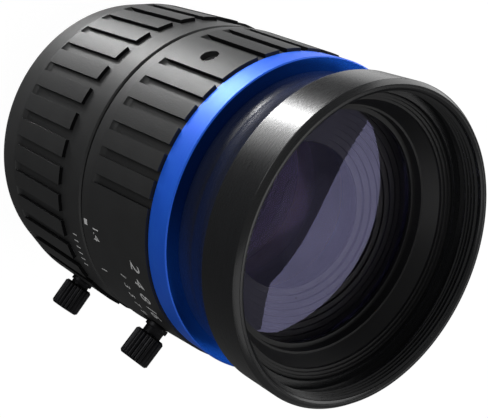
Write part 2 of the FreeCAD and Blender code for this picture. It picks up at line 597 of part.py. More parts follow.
def lens_barrel():
    """Sliding barrel: guide grooves, helicoid thread, iris floor and front threads."""
    body = turned([
        (BARREL_REAR_BORE, BARREL_REAR),
        (BARREL_RADIUS, BARREL_REAR),
        (BARREL_RADIUS, COLLAR_REAR),
        (COLLAR_RADIUS, COLLAR_REAR),
        (COLLAR_RADIUS, COLLAR_FRONT),
        (IRIS_SEAT_RADIUS, COLLAR_FRONT),
        (IRIS_SEAT_RADIUS, ACCENT_REAR),
        (FRONT_THREAD_RADIUS, ACCENT_REAR),
        (FRONT_THREAD_RADIUS, BARREL_FRONT),
        (CHAMBER_RADIUS, BARREL_FRONT),
        (CHAMBER_RADIUS, IRIS_FLOOR),
        (STOP_RADIUS, IRIS_FLOOR),
        (STOP_RADIUS, FLOOR_REAR),
        (BARREL_REAR_BORE, FLOOR_REAR)])
    groove_half = GUIDE_TIP_RADIUS + RUNNING
    groove_low = GUIDE_SCREW_HEIGHT - FOCUS_TRAVEL
    groove_floor = GUIDE_TIP_REACH - FREE_GAP
    groove_depth = BARREL_RADIUS - groove_floor + CUT_MARGIN
    groove = Part.makeBox(groove_depth, 2 * groove_half, FOCUS_TRAVEL,
                          FreeCAD.Vector(groove_floor, -groove_half, groove_low))
    for height in (groove_low, GUIDE_SCREW_HEIGHT):
        end = Part.makeCylinder(groove_half, groove_depth, FreeCAD.Vector(groove_floor, 0, height),
                                FreeCAD.Vector(1, 0, 0))
        groove = groove.fuse(end)
    for angle in GUIDE_SCREW_ANGLES:
        body = body.cut(at_angle(groove, angle))
    for index in range(BLADE_COUNT):
        depth = PIVOT_PIN_LENGTH + END_PLAY
        bottom = pivot_place(index) + FreeCAD.Vector(0, 0, IRIS_FLOOR - depth)
        body = body.cut(Part.makeCylinder(PIVOT_PIN_RADIUS + RUNNING, depth + CUT_MARGIN, bottom))
    window = arc_groove(CHAMBER_RADIUS - CUT_MARGIN, IRIS_SEAT_RADIUS + CUT_MARGIN, DRIVE_SCREW_HEIGHT,
                        DRIVE_TIP_RADIUS + RUNNING, DRIVE_SCREW_ANGLE, DRIVE_SCREW_ANGLE + IRIS_TURN)
    return body.cut(window)


def iris_ring():
    """Grip ring with pads open to the front, a smooth label sector and a plain rear band."""
    counterbore = COLLAR_RADIUS + END_PLAY
    step = COLLAR_FRONT + END_PLAY
    pad_start = IRIS_RING_REAR + IRIS_BAND_LENGTH
    ring = turned([
        (counterbore, IRIS_RING_REAR),
        (IRIS_BAND_RADIUS - RING_EDGE, IRIS_RING_REAR),
        (IRIS_BAND_RADIUS, IRIS_RING_REAR + RING_EDGE),
        (IRIS_BAND_RADIUS, IRIS_RING_FRONT),
        (IRIS_RING_BORE, IRIS_RING_FRONT),
        (IRIS_RING_BORE, step),
        (counterbore, step)])
    pads = tube(IRIS_PAD_RADIUS, IRIS_BAND_RADIUS - RING_EDGE, pad_start, IRIS_RING_FRONT)
    first = IRIS_SLOT_LAST - IRIS_SLOT_PITCH * (IRIS_SLOT_COUNT - 1)
    label_sector = sector(2 * IRIS_PAD_RADIUS, IRIS_SLOT_LAST, first + 360, pad_start, IRIS_RING_LENGTH)
    ring = ring.fuse(pads.cut(label_sector))
    slot = Part.makeBox(IRIS_SLOT_DEPTH + CUT_MARGIN, IRIS_SLOT_WIDTH, IRIS_RING_LENGTH,
                        FreeCAD.Vector(IRIS_SLOT_FLOOR, -IRIS_SLOT_WIDTH / 2, pad_start))
    slots = [at_angle(slot, IRIS_SLOT_LAST - IRIS_SLOT_PITCH * k)
             for k in range(IRIS_SLOT_COUNT) if k != IRIS_WIDE_PAD]
    ring = ring.cut(Part.makeCompound(slots))
    ring = ring.cut(radial_pin(DRIVE_SCREW_RADIUS + SCREWED, IRIS_RING_BORE - CUT_MARGIN,
                               IRIS_PAD_RADIUS + CUT_MARGIN, DRIVE_SCREW_HEIGHT, DRIVE_SCREW_ANGLE))
    return ring.cut(lock_screw_hole(IRIS_SEAT_RADIUS, IRIS_BAND_RADIUS, LOCK_IRIS_HEIGHT, LOCK_IRIS_ANGLE))


def iris_drive_screw():
    """Headless screw in the iris ring whose tip turns the cam ring through the barrel's window."""
    shoulder = IRIS_RING_BORE + SCREWED
    outer = IRIS_PAD_RADIUS - DRIVE_SCREW_RECESS
    screw = radial_pin(DRIVE_SCREW_RADIUS, shoulder, outer, DRIVE_SCREW_HEIGHT, DRIVE_SCREW_ANGLE)
    screw = screw.fuse(radial_pin(DRIVE_TIP_RADIUS, DRIVE_TIP_REACH, shoulder, DRIVE_SCREW_HEIGHT,
                                  DRIVE_SCREW_ANGLE))
    return screw.cut(radial_hex(HEX_SOCKET_WIDTH, outer - HEX_SOCKET_DEPTH, outer + CUT_MARGIN,
                                DRIVE_SCREW_HEIGHT, DRIVE_SCREW_ANGLE))


def drive_pin_path(share):
    """Centre of blade 0's drive pin, seen from the cam ring, at a share of the iris turn."""
    lean = math.radians(BLADE_SWING * (share - 0.5))
    x = PIVOT_CIRCLE + DRIVE_ARM * math.sin(lean)
    y = -DRIVE_ARM * math.cos(lean)
    back = math.radians(-IRIS_TURN * share)
    return FreeCAD.Vector(x * math.cos(back) - y * math.sin(back), x * math.sin(back) + y * math.cos(back), 0)


def cam_slot():
    """Spiral slot that follows the drive pin, with round ends."""
    half = DRIVE_PIN_RADIUS + CAM_SLOT_PLAY
    sides = ([], [])
    for k in range(CAM_SLOT_STEPS + 1):
        share = k / CAM_SLOT_STEPS
        here = drive_pin_path(share)
        along = drive_pin_path(share + CAM_SLOT_STRIDE).sub(drive_pin_path(share - CAM_SLOT_STRIDE))
        across = FreeCAD.Vector(-along.y, along.x, 0).normalize()
        sides[0].append(here + across * half)
        sides[1].append(here - across * half)
    edges = []
    for side in sides:
        curve = Part.BSplineCurve()
        curve.interpolate(side)
        edges.append(curve.toShape())
    start, end = drive_pin_path(0), drive_pin_path(1)
    start_along = start.sub(drive_pin_path(CAM_SLOT_STRIDE)).normalize() * half
    end_along = end.sub(drive_pin_path(1 - CAM_SLOT_STRIDE)).normalize() * half
    edges.append(Part.Arc(sides[0][0], start + start_along, sides[1][0]).toShape())
    edges.append(Part.Arc(sides[0][-1], end + end_along, sides[1][-1]).toShape())
    outline = Part.Wire(Part.__sortEdges__(edges))
    return Part.Face(outline).extrude(FreeCAD.Vector(0, 0, CAM_PIN_DEPTH + END_PLAY))


def iris_cam_ring():
    """Cam ring above the blades: spiral slots in its rear face, a rim that takes the drive screw."""
    ring = turned([
        (CAM_INNER_RADIUS, CAM_REAR),
        (CAM_RADIUS, CAM_REAR),
        (CAM_RADIUS, CAM_FRONT),
        (CAM_RIM_RADIUS, CAM_FRONT),
        (CAM_RIM_RADIUS, CAM_REAR + CAM_PLATE_HEIGHT),
        (CAM_INNER_RADIUS, CAM_REAR + CAM_PLATE_HEIGHT)])
    slot = cam_slot()
    slot.translate(FreeCAD.Vector(0, 0, CAM_REAR))
    for index in range(BLADE_COUNT):
        ring = ring.cut(at_angle(slot, blade_angle(index)))
    return ring.cut(radial_pin(DRIVE_TIP_RADIUS + SCREWED, DRIVE_TIP_REACH - END_PLAY,
                               CAM_RADIUS + CUT_MARGIN, DRIVE_SCREW_HEIGHT, DRIVE_SCREW_ANGLE))


def iris_blade(index):
    """Crescent leaf with a pivot pin that goes down to the floor and a drive pin up to the cam."""
    rear = BLADE_BASE + index * BLADE_PITCH
    span = math.radians(BLADE_SPAN)
    middle = (BLADE_INNER_RADIUS + BLADE_OUTER_RADIUS) / 2

    def polar(radius, turn):
        return FreeCAD.Vector(radius * math.cos(turn), radius * math.sin(turn), rear)

    def band_arc(radius):
        return Part.Arc(polar(radius, 0), polar(radius, span / 2), polar(radius, span)).toShape()
    tip_reach = (BLADE_OUTER_RADIUS - BLADE_INNER_RADIUS) / 2 / middle
    tip = Part.Arc(polar(BLADE_INNER_RADIUS, span), polar(middle, span + tip_reach),
                   polar(BLADE_OUTER_RADIUS, span)).toShape()
    root = Part.LineSegment(polar(BLADE_INNER_RADIUS, 0), polar(BLADE_OUTER_RADIUS, 0)).toShape()
    crescent = Part.Face(Part.Wire(Part.__sortEdges__(
        [band_arc(BLADE_INNER_RADIUS), band_arc(BLADE_OUTER_RADIUS), tip, root])))
    leaf = crescent.extrude(FreeCAD.Vector(0, 0, BLADE_THICKNESS))
    pivot = FreeCAD.Vector(PIVOT_CIRCLE, 0, rear)
    drive = drive_pin_path(0) + FreeCAD.Vector(0, 0, rear)
    leaf = leaf.fuse(Part.makeCylinder(PIVOT_EAR_RADIUS, BLADE_THICKNESS, pivot))
    leaf = leaf.fuse(Part.makeCylinder(DRIVE_EAR_RADIUS, BLADE_THICKNESS, drive))
    leaf = leaf.fuse(link_plate(pivot, drive, DRIVE_EAR_RADIUS))
    neck_foot = FreeCAD.Vector(BLADE_OUTER_RADIUS - PIVOT_EAR_RADIUS, PIVOT_EAR_RADIUS, rear)
    leaf = leaf.fuse(link_plate(pivot, neck_foot, PIVOT_EAR_RADIUS))
    pin_bottom = FreeCAD.Vector(PIVOT_CIRCLE, 0, IRIS_FLOOR - PIVOT_PIN_LENGTH)
    leaf = leaf.fuse(Part.makeCylinder(PIVOT_PIN_RADIUS, rear - IRIS_FLOOR + PIVOT_PIN_LENGTH, pin_bottom))
    leaf = leaf.fuse(Part.makeCylinder(DRIVE_PIN_RADIUS, CAM_REAR + CAM_PIN_DEPTH - rear, drive))
    return at_angle(leaf.removeSplitter(), blade_angle(index))


def link_plate(start, end, half_width):
    """Thin plate of blade thickness between two points."""
    along = end.sub(start).normalize()
    across = FreeCAD.Vector(-along.y, along.x, 0) * half_width
    corners = [start + across, end + across, end - across, start - across]
    return Part.Face(Part.makePolygon(corners + corners[:1])).extrude(FreeCAD.Vector(0, 0, BLADE_THICKNESS))


def iris_retaining_ring():
    return chamfered_tube(CHAMBER_RADIUS - SCREWED, IRIS_NUT_BORE, IRIS_NUT_REAR,
                          IRIS_NUT_REAR + IRIS_NUT_HEIGHT, RING_EDGE)


def front_cell():
    """Cell for the two front lenses: a flight of fine steps between them stops stray light."""
    lens_2_opening = lens_2.radius - LENS_2_RIM
    lens_1_opening = lens_1.radius - LENS_1_RIM
    outer = CHAMBER_RADIUS - SCREWED
    points = [
        (lens_2_opening, CELL_REAR),
        (outer, CELL_REAR),
        (outer, FRONT_CELL_TOP),
        (lens_1.radius + SCREWED, FRONT_CELL_TOP),
        (lens_1.radius + SCREWED, LENS_1_SEAT),
        (lens_1_opening, LENS_1_SEAT)]
    for k in range(BAFFLE_STEPS):
        radius = lens_1_opening - k * BAFFLE_STEP_WIDTH
        height = LENS_1_SEAT - BAFFLE_LAND - k * BAFFLE_STEP_HEIGHT
        points += [(radius, height), (radius - BAFFLE_STEP_WIDTH, height)]
    points += [
        (points[-1][0], points[-1][1] - BAFFLE_STEP_HEIGHT),
        (lens_2.radius + SCREWED, points[-1][1] - BAFFLE_STEP_HEIGHT),
        (lens_2.radius + SCREWED, CELL_FLOOR),
        (lens_2_opening, CELL_FLOOR)]
    return turned(points)


def lens_2_retaining_ring():
    opening = lens_2.radius - RETAINER_WIDTH
    seat = lens_2.front_seat(opening)
    return tube(lens_2.radius, opening, seat, seat + LENS_2_RING_HEIGHT)


def front_retaining_ring():
    """Stepped ring in the hood: it holds the front lens and its steps and cone stop stray light."""
    lip_top = front_lip_seat + FRONT_RING_LIP_HEIGHT
    skirt = CHAMBER_RADIUS - SCREWED
    collar = HOOD_LEDGE_RADIUS - RUNNING
    front = BARREL_FRONT + FRONT_RING_FLANGE
    cone_top = front - FRONT_RING_STEPS * FRONT_RING_STEP_HEIGHT
    cone_base = cone_top - FRONT_RING_CONE_HEIGHT
    points = [
        (FRONT_RING_LIP, front_lip_seat),
        (skirt, front_lip_seat),
        (skirt, BARREL_FRONT),
        (collar, BARREL_FRONT),
        (collar, front)]
    for k in range(FRONT_RING_STEPS):
        radius = FRONT_RING_CONE_TOP + (FRONT_RING_STEPS - 1 - k) * FRONT_RING_STEP_WIDTH
        height = front - k * FRONT_RING_STEP_HEIGHT
        points += [(radius, height), (radius, height - FRONT_RING_STEP_HEIGHT)]
    points += [(FRONT_RING_CONE_BASE, cone_base), (FRONT_RING_SKIRT_BORE, cone_base),
               (FRONT_RING_SKIRT_BORE, lip_top), (FRONT_RING_LIP, lip_top)]
    return turned(points)


def accent_ring():
    """Coloured ring clamped between the barrel's shoulder and the hood."""
    return chamfered_tube(ACCENT_RADIUS, FRONT_THREAD_RADIUS + SCREWED, ACCENT_REAR, ACCENT_FRONT,
                          ACCENT_EDGE)


def hood():
    """Front hood: neck, hollow flare, filter thread bore and the ledge under it."""
    bore = FRONT_THREAD_RADIUS + SCREWED
    undercut = FILTER_THREAD_RADIUS + UNDERCUT_DEPTH
    flare_middle = (FLARE_START + FLARE_END) / 2
    flare = Part.Arc(
        FreeCAD.Vector(NECK_RADIUS, 0, FLARE_START),
        FreeCAD.Vector((NECK_RADIUS + HOOD_RADIUS) / 2 - FLARE_HOLLOW, 0, flare_middle + FLARE_HOLLOW),
        FreeCAD.Vector(HOOD_RADIUS, 0, FLARE_END)).toShape()
    corners = [
        (HOOD_RADIUS, FLARE_END),
        (HOOD_RADIUS, HOOD_FRONT - HOOD_CHAMFER_HEIGHT),
        (HOOD_RADIUS - HOOD_CHAMFER_WIDTH, HOOD_FRONT),
        (FILTER_THREAD_RADIUS + FILTER_LEAD_IN, HOOD_FRONT),
        (FILTER_THREAD_RADIUS, HOOD_FRONT - FILTER_LEAD_IN),
        (FILTER_THREAD_RADIUS, FILTER_THREAD_END),
        (undercut, FILTER_THREAD_END),
        (undercut, LEDGE_TOP),
        (HOOD_LEDGE_RADIUS, LEDGE_TOP),
        (HOOD_LEDGE_RADIUS, BARREL_FRONT),
        (bore, BARREL_FRONT),
        (bore, ACCENT_FRONT),
        (NECK_RADIUS, ACCENT_FRONT),
        (NECK_RADIUS, FLARE_START)]
    rest = Part.makePolygon([FreeCAD.Vector(r, 0, z) for r, z in corners])
    outline = Part.Wire([flare] + rest.Edges)
    return Part.Face(outline).revolve(FreeCAD.Vector(0, 0, 0), FreeCAD.Vector(0, 0, 1), 360)


def rear_cell():
    """Stepped tube for the rear group, screwed into the barrel behind the iris floor."""
    tail_bore = TAIL_GLASS_RADIUS + SCREWED
    front_bore = REAR_GLASS_RADIUS + SCREWED
    flange_rear = REAR_CELL_FRONT - REAR_CELL_FLANGE
    return turned([
        (tail_bore, CELL_TAIL_END),
        (CELL_TAIL_RADIUS - RING_EDGE, CELL_TAIL_END),
        (CELL_TAIL_RADIUS, CELL_TAIL_END + RING_EDGE),
        (CELL_TAIL_RADIUS, REAR_CELL_STEP),
        (REAR_CELL_RADIUS, REAR_CELL_STEP),
        (REAR_CELL_RADIUS, flange_rear),
        (BARREL_REAR_BORE - SCREWED, flange_rear),
        (BARREL_REAR_BORE - SCREWED, REAR_CELL_FRONT),
        (front_bore, REAR_CELL_FRONT),
        (front_bore, cell_shoulder),
        (CELL_SHOULDER_RADIUS, cell_shoulder),
        (CELL_SHOULDER_RADIUS, shoulder_rear),
        (tail_bore, shoulder_rear)])


def rear_cell_front_retainer():
    return tube(REAR_GLASS_RADIUS, REAR_GLASS_RADIUS - RETAINER_WIDTH, REAR_CELL_FRONT - RETAINER_HEIGHT,
                REAR_CELL_FRONT)


def rear_spacer():
    return tube(REAR_GLASS_RADIUS, spacer_bore, rear_spacer_seat, lens_3_seat)


def tail_spacer():
    return tube(TAIL_GLASS_RADIUS, tail_spacer_bore, lens_7.front_seat(tail_spacer_bore),
                lens_6.rear_seat(tail_spacer_bore))


def rear_retaining_ring():
    return tube(TAIL_GLASS_RADIUS, TAIL_GLASS_RADIUS - RETAINER_WIDTH, rear_ring_bottom, rear_ring_seat)


PIECES = {
    "mount_barrel": mount_barrel(),
    "focus_retaining_ring": focus_retaining_ring(),
    "guide_screw_1": guide_screw(GUIDE_SCREW_ANGLES[0]),
    "guide_screw_2": guide_screw(GUIDE_SCREW_ANGLES[1]),
    "focus_ring": focus_ring(),
    "helicoid_sleeve": helicoid_sleeve(),
    "focus_lock_screw": lock_screw(FIXED_TUBE_RADIUS, FOCUS_PAD_RADIUS, LOCK_FOCUS_GROOVE,
                                   LOCK_FOCUS_HEIGHT, LOCK_FOCUS_ANGLE),
    "lens_barrel": lens_barrel(),
    "iris_ring": iris_ring(),
    "iris_drive_screw": iris_drive_screw(),
    "iris_lock_screw": lock_screw(IRIS_SEAT_RADIUS, IRIS_BAND_RADIUS, LOCK_IRIS_GROOVE,
                                  LOCK_IRIS_HEIGHT, LOCK_IRIS_ANGLE),
    "iris_cam_ring": iris_cam_ring(),
    "iris_retaining_ring": iris_retaining_ring(),
    "accent_ring": accent_ring(),
    "hood": hood(),
    "front_cell": front_cell(),
    "front_retaining_ring": front_retaining_ring(),
    "lens_2_retaining_ring": lens_2_retaining_ring(),
    "rear_cell": rear_cell(),
    "rear_cell_front_retainer": rear_cell_front_retainer(),
    "rear_spacer": rear_spacer(),
    "tail_spacer": tail_spacer(),
    "rear_retaining_ring": rear_retaining_ring(),
    "lens_1": lens_1.solid(),
    "lens_2": lens_2.solid(),
    "lens_3": lens_3.solid(),
    "lens_4": lens_4.solid(),
    "lens_5": lens_5.solid(),
    "lens_6": lens_6.solid(),
    "lens_7": lens_7.solid(),
}
for blade in range(BLADE_COUNT):
    PIECES[f"iris_blade_{blade + 1}"] = iris_blade(blade)

os.makedirs("parts", exist_ok=True)
for name, shape in PIECES.items():
    shape.exportStep(f"parts/{name}.step")
    box = shape.BoundBox
    print(f"{name}: {len(shape.Solids)} solid, valid {shape.isValid()}, volume {shape.Volume:.1f}, "
          f"z {box.ZMin:.2f} to {box.ZMax:.2f}, reach {max(box.XMax, box.YMax):.2f}")
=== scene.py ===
import math

import bmesh
import bpy
from mathutils import Matrix, Vector


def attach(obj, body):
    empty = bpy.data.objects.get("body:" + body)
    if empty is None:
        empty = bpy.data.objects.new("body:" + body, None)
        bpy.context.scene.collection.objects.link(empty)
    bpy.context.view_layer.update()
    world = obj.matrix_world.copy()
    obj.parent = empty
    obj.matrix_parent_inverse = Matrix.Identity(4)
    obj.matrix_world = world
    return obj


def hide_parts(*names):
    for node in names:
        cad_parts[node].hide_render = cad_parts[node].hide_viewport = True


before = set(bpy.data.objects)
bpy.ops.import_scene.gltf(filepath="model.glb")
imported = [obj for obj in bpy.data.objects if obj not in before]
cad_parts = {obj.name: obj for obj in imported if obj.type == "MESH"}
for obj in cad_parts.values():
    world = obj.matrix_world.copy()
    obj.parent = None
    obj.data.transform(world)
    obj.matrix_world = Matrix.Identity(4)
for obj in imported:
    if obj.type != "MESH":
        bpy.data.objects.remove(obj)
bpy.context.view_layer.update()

# Radii and heights are in millimetres on the lens's own axis, with z = 0 on the flange face.
MM = 0.001
TURN_STEPS, SCREW_TURN_STEPS, GLASS_TURN_STEPS = 288, 96, 192

# Rings
FOCUS_REAR, FOCUS_PAD_START, FOCUS_PAD_END, FOCUS_FRONT = 4.2, 9.1, 22.0, 26.65
FOCUS_REAR_RADIUS, FOCUS_PAD_RADIUS, BAND_RADIUS = 20.6, 21.35, 20.85
FOCUS_BORE, FOCUS_RIB_BORE, RIB_START, RIB_END = 18.3, 17.65, 6.0, 8.0
FOCUS_SLOTS, FOCUS_SLOT_START, FOCUS_SLOT_WIDTH = 37, 183.05, 1.3
RUN_OUT_START, RUN_OUT = 0.45, 0.8
IRIS_REAR, IRIS_LINE_START, IRIS_PAD_START, IRIS_FRONT = 26.95, 28.95, 29.1, 41.0
IRIS_BAND_RADIUS, IRIS_PAD_REAR, IRIS_PAD_FRONT = 20.78, 20.95, 20.4
IRIS_SLOT_DEPTH, IRIS_LABEL_DROP = 0.55, 0.08
IRIS_BORE, IRIS_COUNTERBORE, IRIS_STEP = 18.0, 19.0, 28.45
IRIS_SLOT_LAST, IRIS_SLOT_PITCH, IRIS_SLOT_COUNT, IRIS_WIDE_PAD = 250.75, 9.25, 29, 6
IRIS_SLOT_WIDTH = 1.18
EDGE = 0.2

# Lock screws: angle, height, radius of the ring there, inner end, and width of the groove under the head
LOCK_FOCUS = (311.5, 15.0, FOCUS_PAD_RADIUS, 17.7, 0.4)
LOCK_IRIS = (308.0, 35.2, 20.75, 18.05, 0.9)
LOCK_STEM, LOCK_COLLAR, LOCK_GROOVE = 1.0, 1.55, 1.3
HEAD_LENGTH, HEAD_RADIUS, HEAD_VALLEY, HEAD_CHAMFER, HEAD_RIDGES = 3.8, 2.05, 1.83, 0.25, 22
LOCK_HOLE, SPOT_FACE_RADIUS, SPOT_FACE_DEPTH = 1.05, 2.3, 0.25

# Drive screw: angle and height
DRIVE_SCREW = (195.25, 35.2)
DRIVE_SCREW_TIP, DRIVE_SCREW_SHOULDER, DRIVE_SCREW_TOP = 13.8, 18.05, 20.05
DRIVE_TIP_RADIUS, DRIVE_BODY_RADIUS, DRIVE_HOLE = 0.75, 1.15, 1.17
SOCKET_WIDTH, SOCKET_DEPTH = 1.27, 1.1
HOLE_START = 16

# Front
ACCENT_REAR, ACCENT_FRONT, ACCENT_RADIUS = 41.1, 44.8, 20.05
FLARE_START, FLARE_END, HOOD_FRONT = 47.2, 51.3, 57.36
NECK_RADIUS, HOOD_RADIUS, FILTER_RADIUS = 18.3, 19.7, 18.5
THREAD_END, LEDGE_TOP, LEDGE_RADIUS, BARREL_FRONT = 54.46, 53.56, 17.6, 50.0
FRONT_THREAD_RADIUS = 17.2
FILTER_PITCH = 0.5

# Stepped ring in front of the glass
RING_REAR, RING_FRONT, RING_RADIUS, RING_FLANGE_RADIUS = 48.58, 53.1, 16.28, 17.55
RING_BORE, RING_LIP, RING_STEPS, RING_STEP, RING_STEP_RADIUS = 14.6, 0.5, 3, 0.33, 16.5
CONE_RADIUS, CONE_BORE, CONE_DEPTH = 15.5, 15.2, 1.9

# Front cell and its stepped baffle
CELL_REAR, CELL_FRONT, CELL_RADIUS, CELL_BORE = 38.08, 47.9, 16.28, 9.6
GLASS_POCKET, GLASS_SEAT = 14.92, 44.5
BAFFLE_RADIUS, BAFFLE_FRONT, BAFFLE_REAR = 14.05, 44.1, 42.0
BAFFLE_STEPS, BAFFLE_STEP_WIDTH, BAFFLE_STEP_DEPTH = 7, 0.78, 0.3
RETAINER_HOLLOW, SECOND_POCKET, SECOND_POCKET_FRONT, SECOND_SEAT = 11.6, 11.22, 41.58, 39.28

# Glasses: radius, height of the rear crown, thickness, rear curve, front curve
FRONT_GLASS_SHAPE = (14.9, 45.295, 5.9, -140.0, 42.0)
SECOND_GLASS_SHAPE = (11.2, 39.979, 1.8, -90.0, 60.0)

# Mount
THREAD_RADIUS, THREAD_PITCH, THREAD_DEPTH, THREAD_REAR = 12.7, 0.794, 0.49, -4.0
MOUNT_BORE, FLANGE_RADIUS, FLANGE_TOP = 11.2, 15.2, 3.4
SHOULDER_RADIUS, SHOULDER_TOP = 18.25, 5.9
TUBE_RADIUS, TUBE_BORE, TUBE_FLOOR, TUBE_FRONT = 17.6, 16.42, 6.0, 20.5

# Marks
MARK_RISE, NUMBER_LEAN = 0.015, 0.25
SCALE_HEIGHT, SCALE_SIZE = 38.2, 2.5
SCALE_NUMBERS = (("2", 275.0), ("4", 281.4), ("8", 287.8), ("16", 295.0))
ROW_HEIGHT, ROW_SIZE = 34.8, 1.5
ROW_NUMBERS = (("1", 282.0), ("3", 286.4), ("5", 290.8), ("7", 295.2), ("9", 299.6))
TICK_COUNT, TICK_START, TICK_PITCH, TICK_HEIGHT = 6, 276.0, 2.6, 24.4

# Camera, in metres
FOCAL_LENGTH = 73.77
CAMERA_PLACE = (-0.050566, -0.071628, 0.130904)
CAMERA_RIGHT = (0.05537, 0.79189, 0.60814)
CAMERA_AHEAD = (0.39997, 0.54048, -0.74021)

# Lamps: name, azimuth, elevation, width, height, strength, turn about the panel's own normal
LAMPS = (("glass_panel", 55.4, 59.62, 0.2, 0.2, 1.4, 45),
         ("back_panel", 180, -48, 0.25, 0.24, 2.4, 0),
         ("back_strip", 172, -47, 0.05, 0.2, 38.0, 0),
         ("back_side_panel", 102, -48, 0.2, 0.22, 0.9, 0),
         ("left_panel", 205, -8, 0.4, 0.26, 2.2, 0),
         ("side_panel", 112, 5, 0.45, 0.42, 1.7, 0),
         ("front_panel", 300, 30, 0.5, 0.3, 0.7, 0))
LAMP_DISTANCE = 0.5
LAMP_TARGET = Vector((0, 0, 0.035))

# Surroundings
ROOM_LOW, ROOM_HIGH = 0.01, 0.24
MIRROR_SHARE = 0.04
FLOOR_HALF_SIZE, FLOOR_HEIGHT, FLOOR_GLOW, FLOOR_SHADOW_SHARE = 3.0, -0.004, 1.13, 0.15


class Value:
    """A number that varies over a surface. Arithmetic on it adds Math nodes."""

    def __init__(self, finish, output):
        self.finish = finish
        self.output = output

    def math(self, operation, *terms):
        return self.finish.add("ShaderNodeMath", {"operation": operation}, dict(enumerate(terms)))

    def __add__(self, other):
        return self.math("ADD", self, other)

    def __radd__(self, other):
        return self.math("ADD", other, self)

    def __sub__(self, other):
        return self.math("SUBTRACT", self, other)

    def __rsub__(self, other):
        return self.math("SUBTRACT", other, self)

    def __mul__(self, other):
        return self.math("MULTIPLY", self, other)

    def __rmul__(self, other):
        return self.math("MULTIPLY", other, self)

    def __truediv__(self, other):
        return self.math("DIVIDE", self, other)

    def __rtruediv__(self, other):
        return self.math("DIVIDE", other, self)

    def __pow__(self, other):
        return self.math("POWER", self, other)

    def __rpow__(self, other):
        return self.math("POWER", other, self)


class Finish:
    """A material in the making. Its one method adds any node and returns one of its outputs."""

    def __init__(self, name, owner=None):
        self.owner = owner or bpy.data.materials.new(name)
        self.owner.use_nodes = True
        self.tree = self.owner.node_tree
        self.tree.nodes.clear()

    def add(self, kind, settings=None, sockets=None, output=0):
        node = self.tree.nodes.new(kind)
        for key, setting in (settings or {}).items():
            if key == "stops":
                ramp = node.color_ramp
                while len(ramp.elements) < len(setting):
                    ramp.elements.new(0.5)
                for element, (place, colour) in zip(ramp.elements, setting):
                    element.position = place
                    element.color = (*colour, 1)
            else:
                setattr(node, key, setting)
        for key, value in (sockets or {}).items():
            if isinstance(value, Value):
                self.tree.links.new(value.output, node.inputs[key])
            else:
                node.inputs[key].default_value = value
        return None if output is None else Value(self, node.outputs[output])

    def mix_colour(self, share, first, second):
        """Blends two colours, each a tuple or a link."""
        sockets = {0: share, 6: first if isinstance(first, Value) else (*first, 1),
                   7: second if isinstance(second, Value) else (*second, 1)}
        return self.add("ShaderNodeMix", {"data_type": "RGBA"}, sockets, 2)

    def surface(self, shader):
        self.add("ShaderNodeOutputMaterial", None, {"Surface": shader}, None)
        return self.owner

    def place(self):
        """Place on the object in millimetres."""
        here = self.add("ShaderNodeTexCoord", None, None, "Object")
        return self.add("ShaderNodeVectorMath", {"operation": "SCALE"}, {0: here, "Scale": 1 / MM})

    def turned_place(self, across=1.0):
        """Place by radius and height alone, so that marks run round the axis as a lathe leaves them."""
        here = self.place()
        parts = {"x": self.add("ShaderNodeSeparateXYZ", None, {0: here}, 0),
                 "y": self.add("ShaderNodeSeparateXYZ", None, {0: here}, 1),
                 "z": self.add("ShaderNodeSeparateXYZ", None, {0: here}, 2)}
        radius = (parts["x"] * parts["x"] + parts["y"] * parts["y"]) ** 0.5
        turn = self.add("ShaderNodeMath", {"operation": "ARCTAN2"}, {0: parts["y"], 1: parts["x"]})
        return self.add("ShaderNodeCombineXYZ", None, {0: radius, 1: turn * across, 2: parts["z"]})

    def noise(self, place, scale, detail=3.0, rough=0.6):
        return self.add("ShaderNodeTexNoise", None, {"Vector": place, "Scale": scale, "Detail": detail,
                                                     "Roughness": rough}, 0)

    def bump(self, height, strength, depth):
        return self.add("ShaderNodeBump", None, {"Height": height, "Strength": strength,
                                                 "Distance": depth * MM})

    def principled(self, sockets):
        return self.add("ShaderNodeBsdfPrincipled", None, sockets)


def satin_black(name, tone, roughness, grain=5.0, grain_depth=0.035, shine=0.35):
    """Bead-blasted and anodised: a fine grain, and tiny pale flecks painted into the colour as glints."""
    finish = Finish(name)
    place = finish.place()
    fine = finish.noise(place, grain, 2.0, 0.7)
    cloud = finish.noise(place, 0.35, 3.0, 0.5)
    # Painted glints: pale flecks in the colour where the fine noise is high, whatever the light.
    painted_glints = finish.add("ShaderNodeValToRGB", {"stops": ((0.62, (0, 0, 0)), (0.8, (1, 1, 1)))}, {0: fine})
    dark = tuple(channel * 0.8 for channel in tone)
    light = tuple(channel * 2.4 for channel in tone)
    colour = finish.mix_colour(painted_glints * 0.5 + cloud * 0.25, dark, light)
    rough = roughness - 0.07 + fine * 0.09 + cloud * 0.06
    bumps = finish.bump(fine, 0.5, grain_depth)
    return finish.surface(finish.principled({"Base Color": colour, "Roughness": rough, "Normal": bumps,
                                             "Specular IOR Level": shine}))


def turned_black(name, tone, roughness, pitch=14.0, depth=0.006, shine=0.5):
    """Anodised over fine lathe marks."""
    finish = Finish(name)
    rings = finish.noise(finish.turned_place(0.6), pitch, 2.0, 0.6)
    grain = finish.noise(finish.place(), 12.0, 1.0, 0.5)
    colour = finish.mix_colour(rings, tuple(channel * 0.7 for channel in tone),
                               tuple(channel * 1.5 for channel in tone))
    rough = roughness - 0.06 + rings * 0.08 + grain * 0.05
    bumps = finish.bump(rings * 0.7 + grain * 0.3, 0.3, depth)
    return finish.surface(finish.principled({"Base Color": colour, "Roughness": rough, "Normal": bumps,
                                             "Specular IOR Level": shine}))


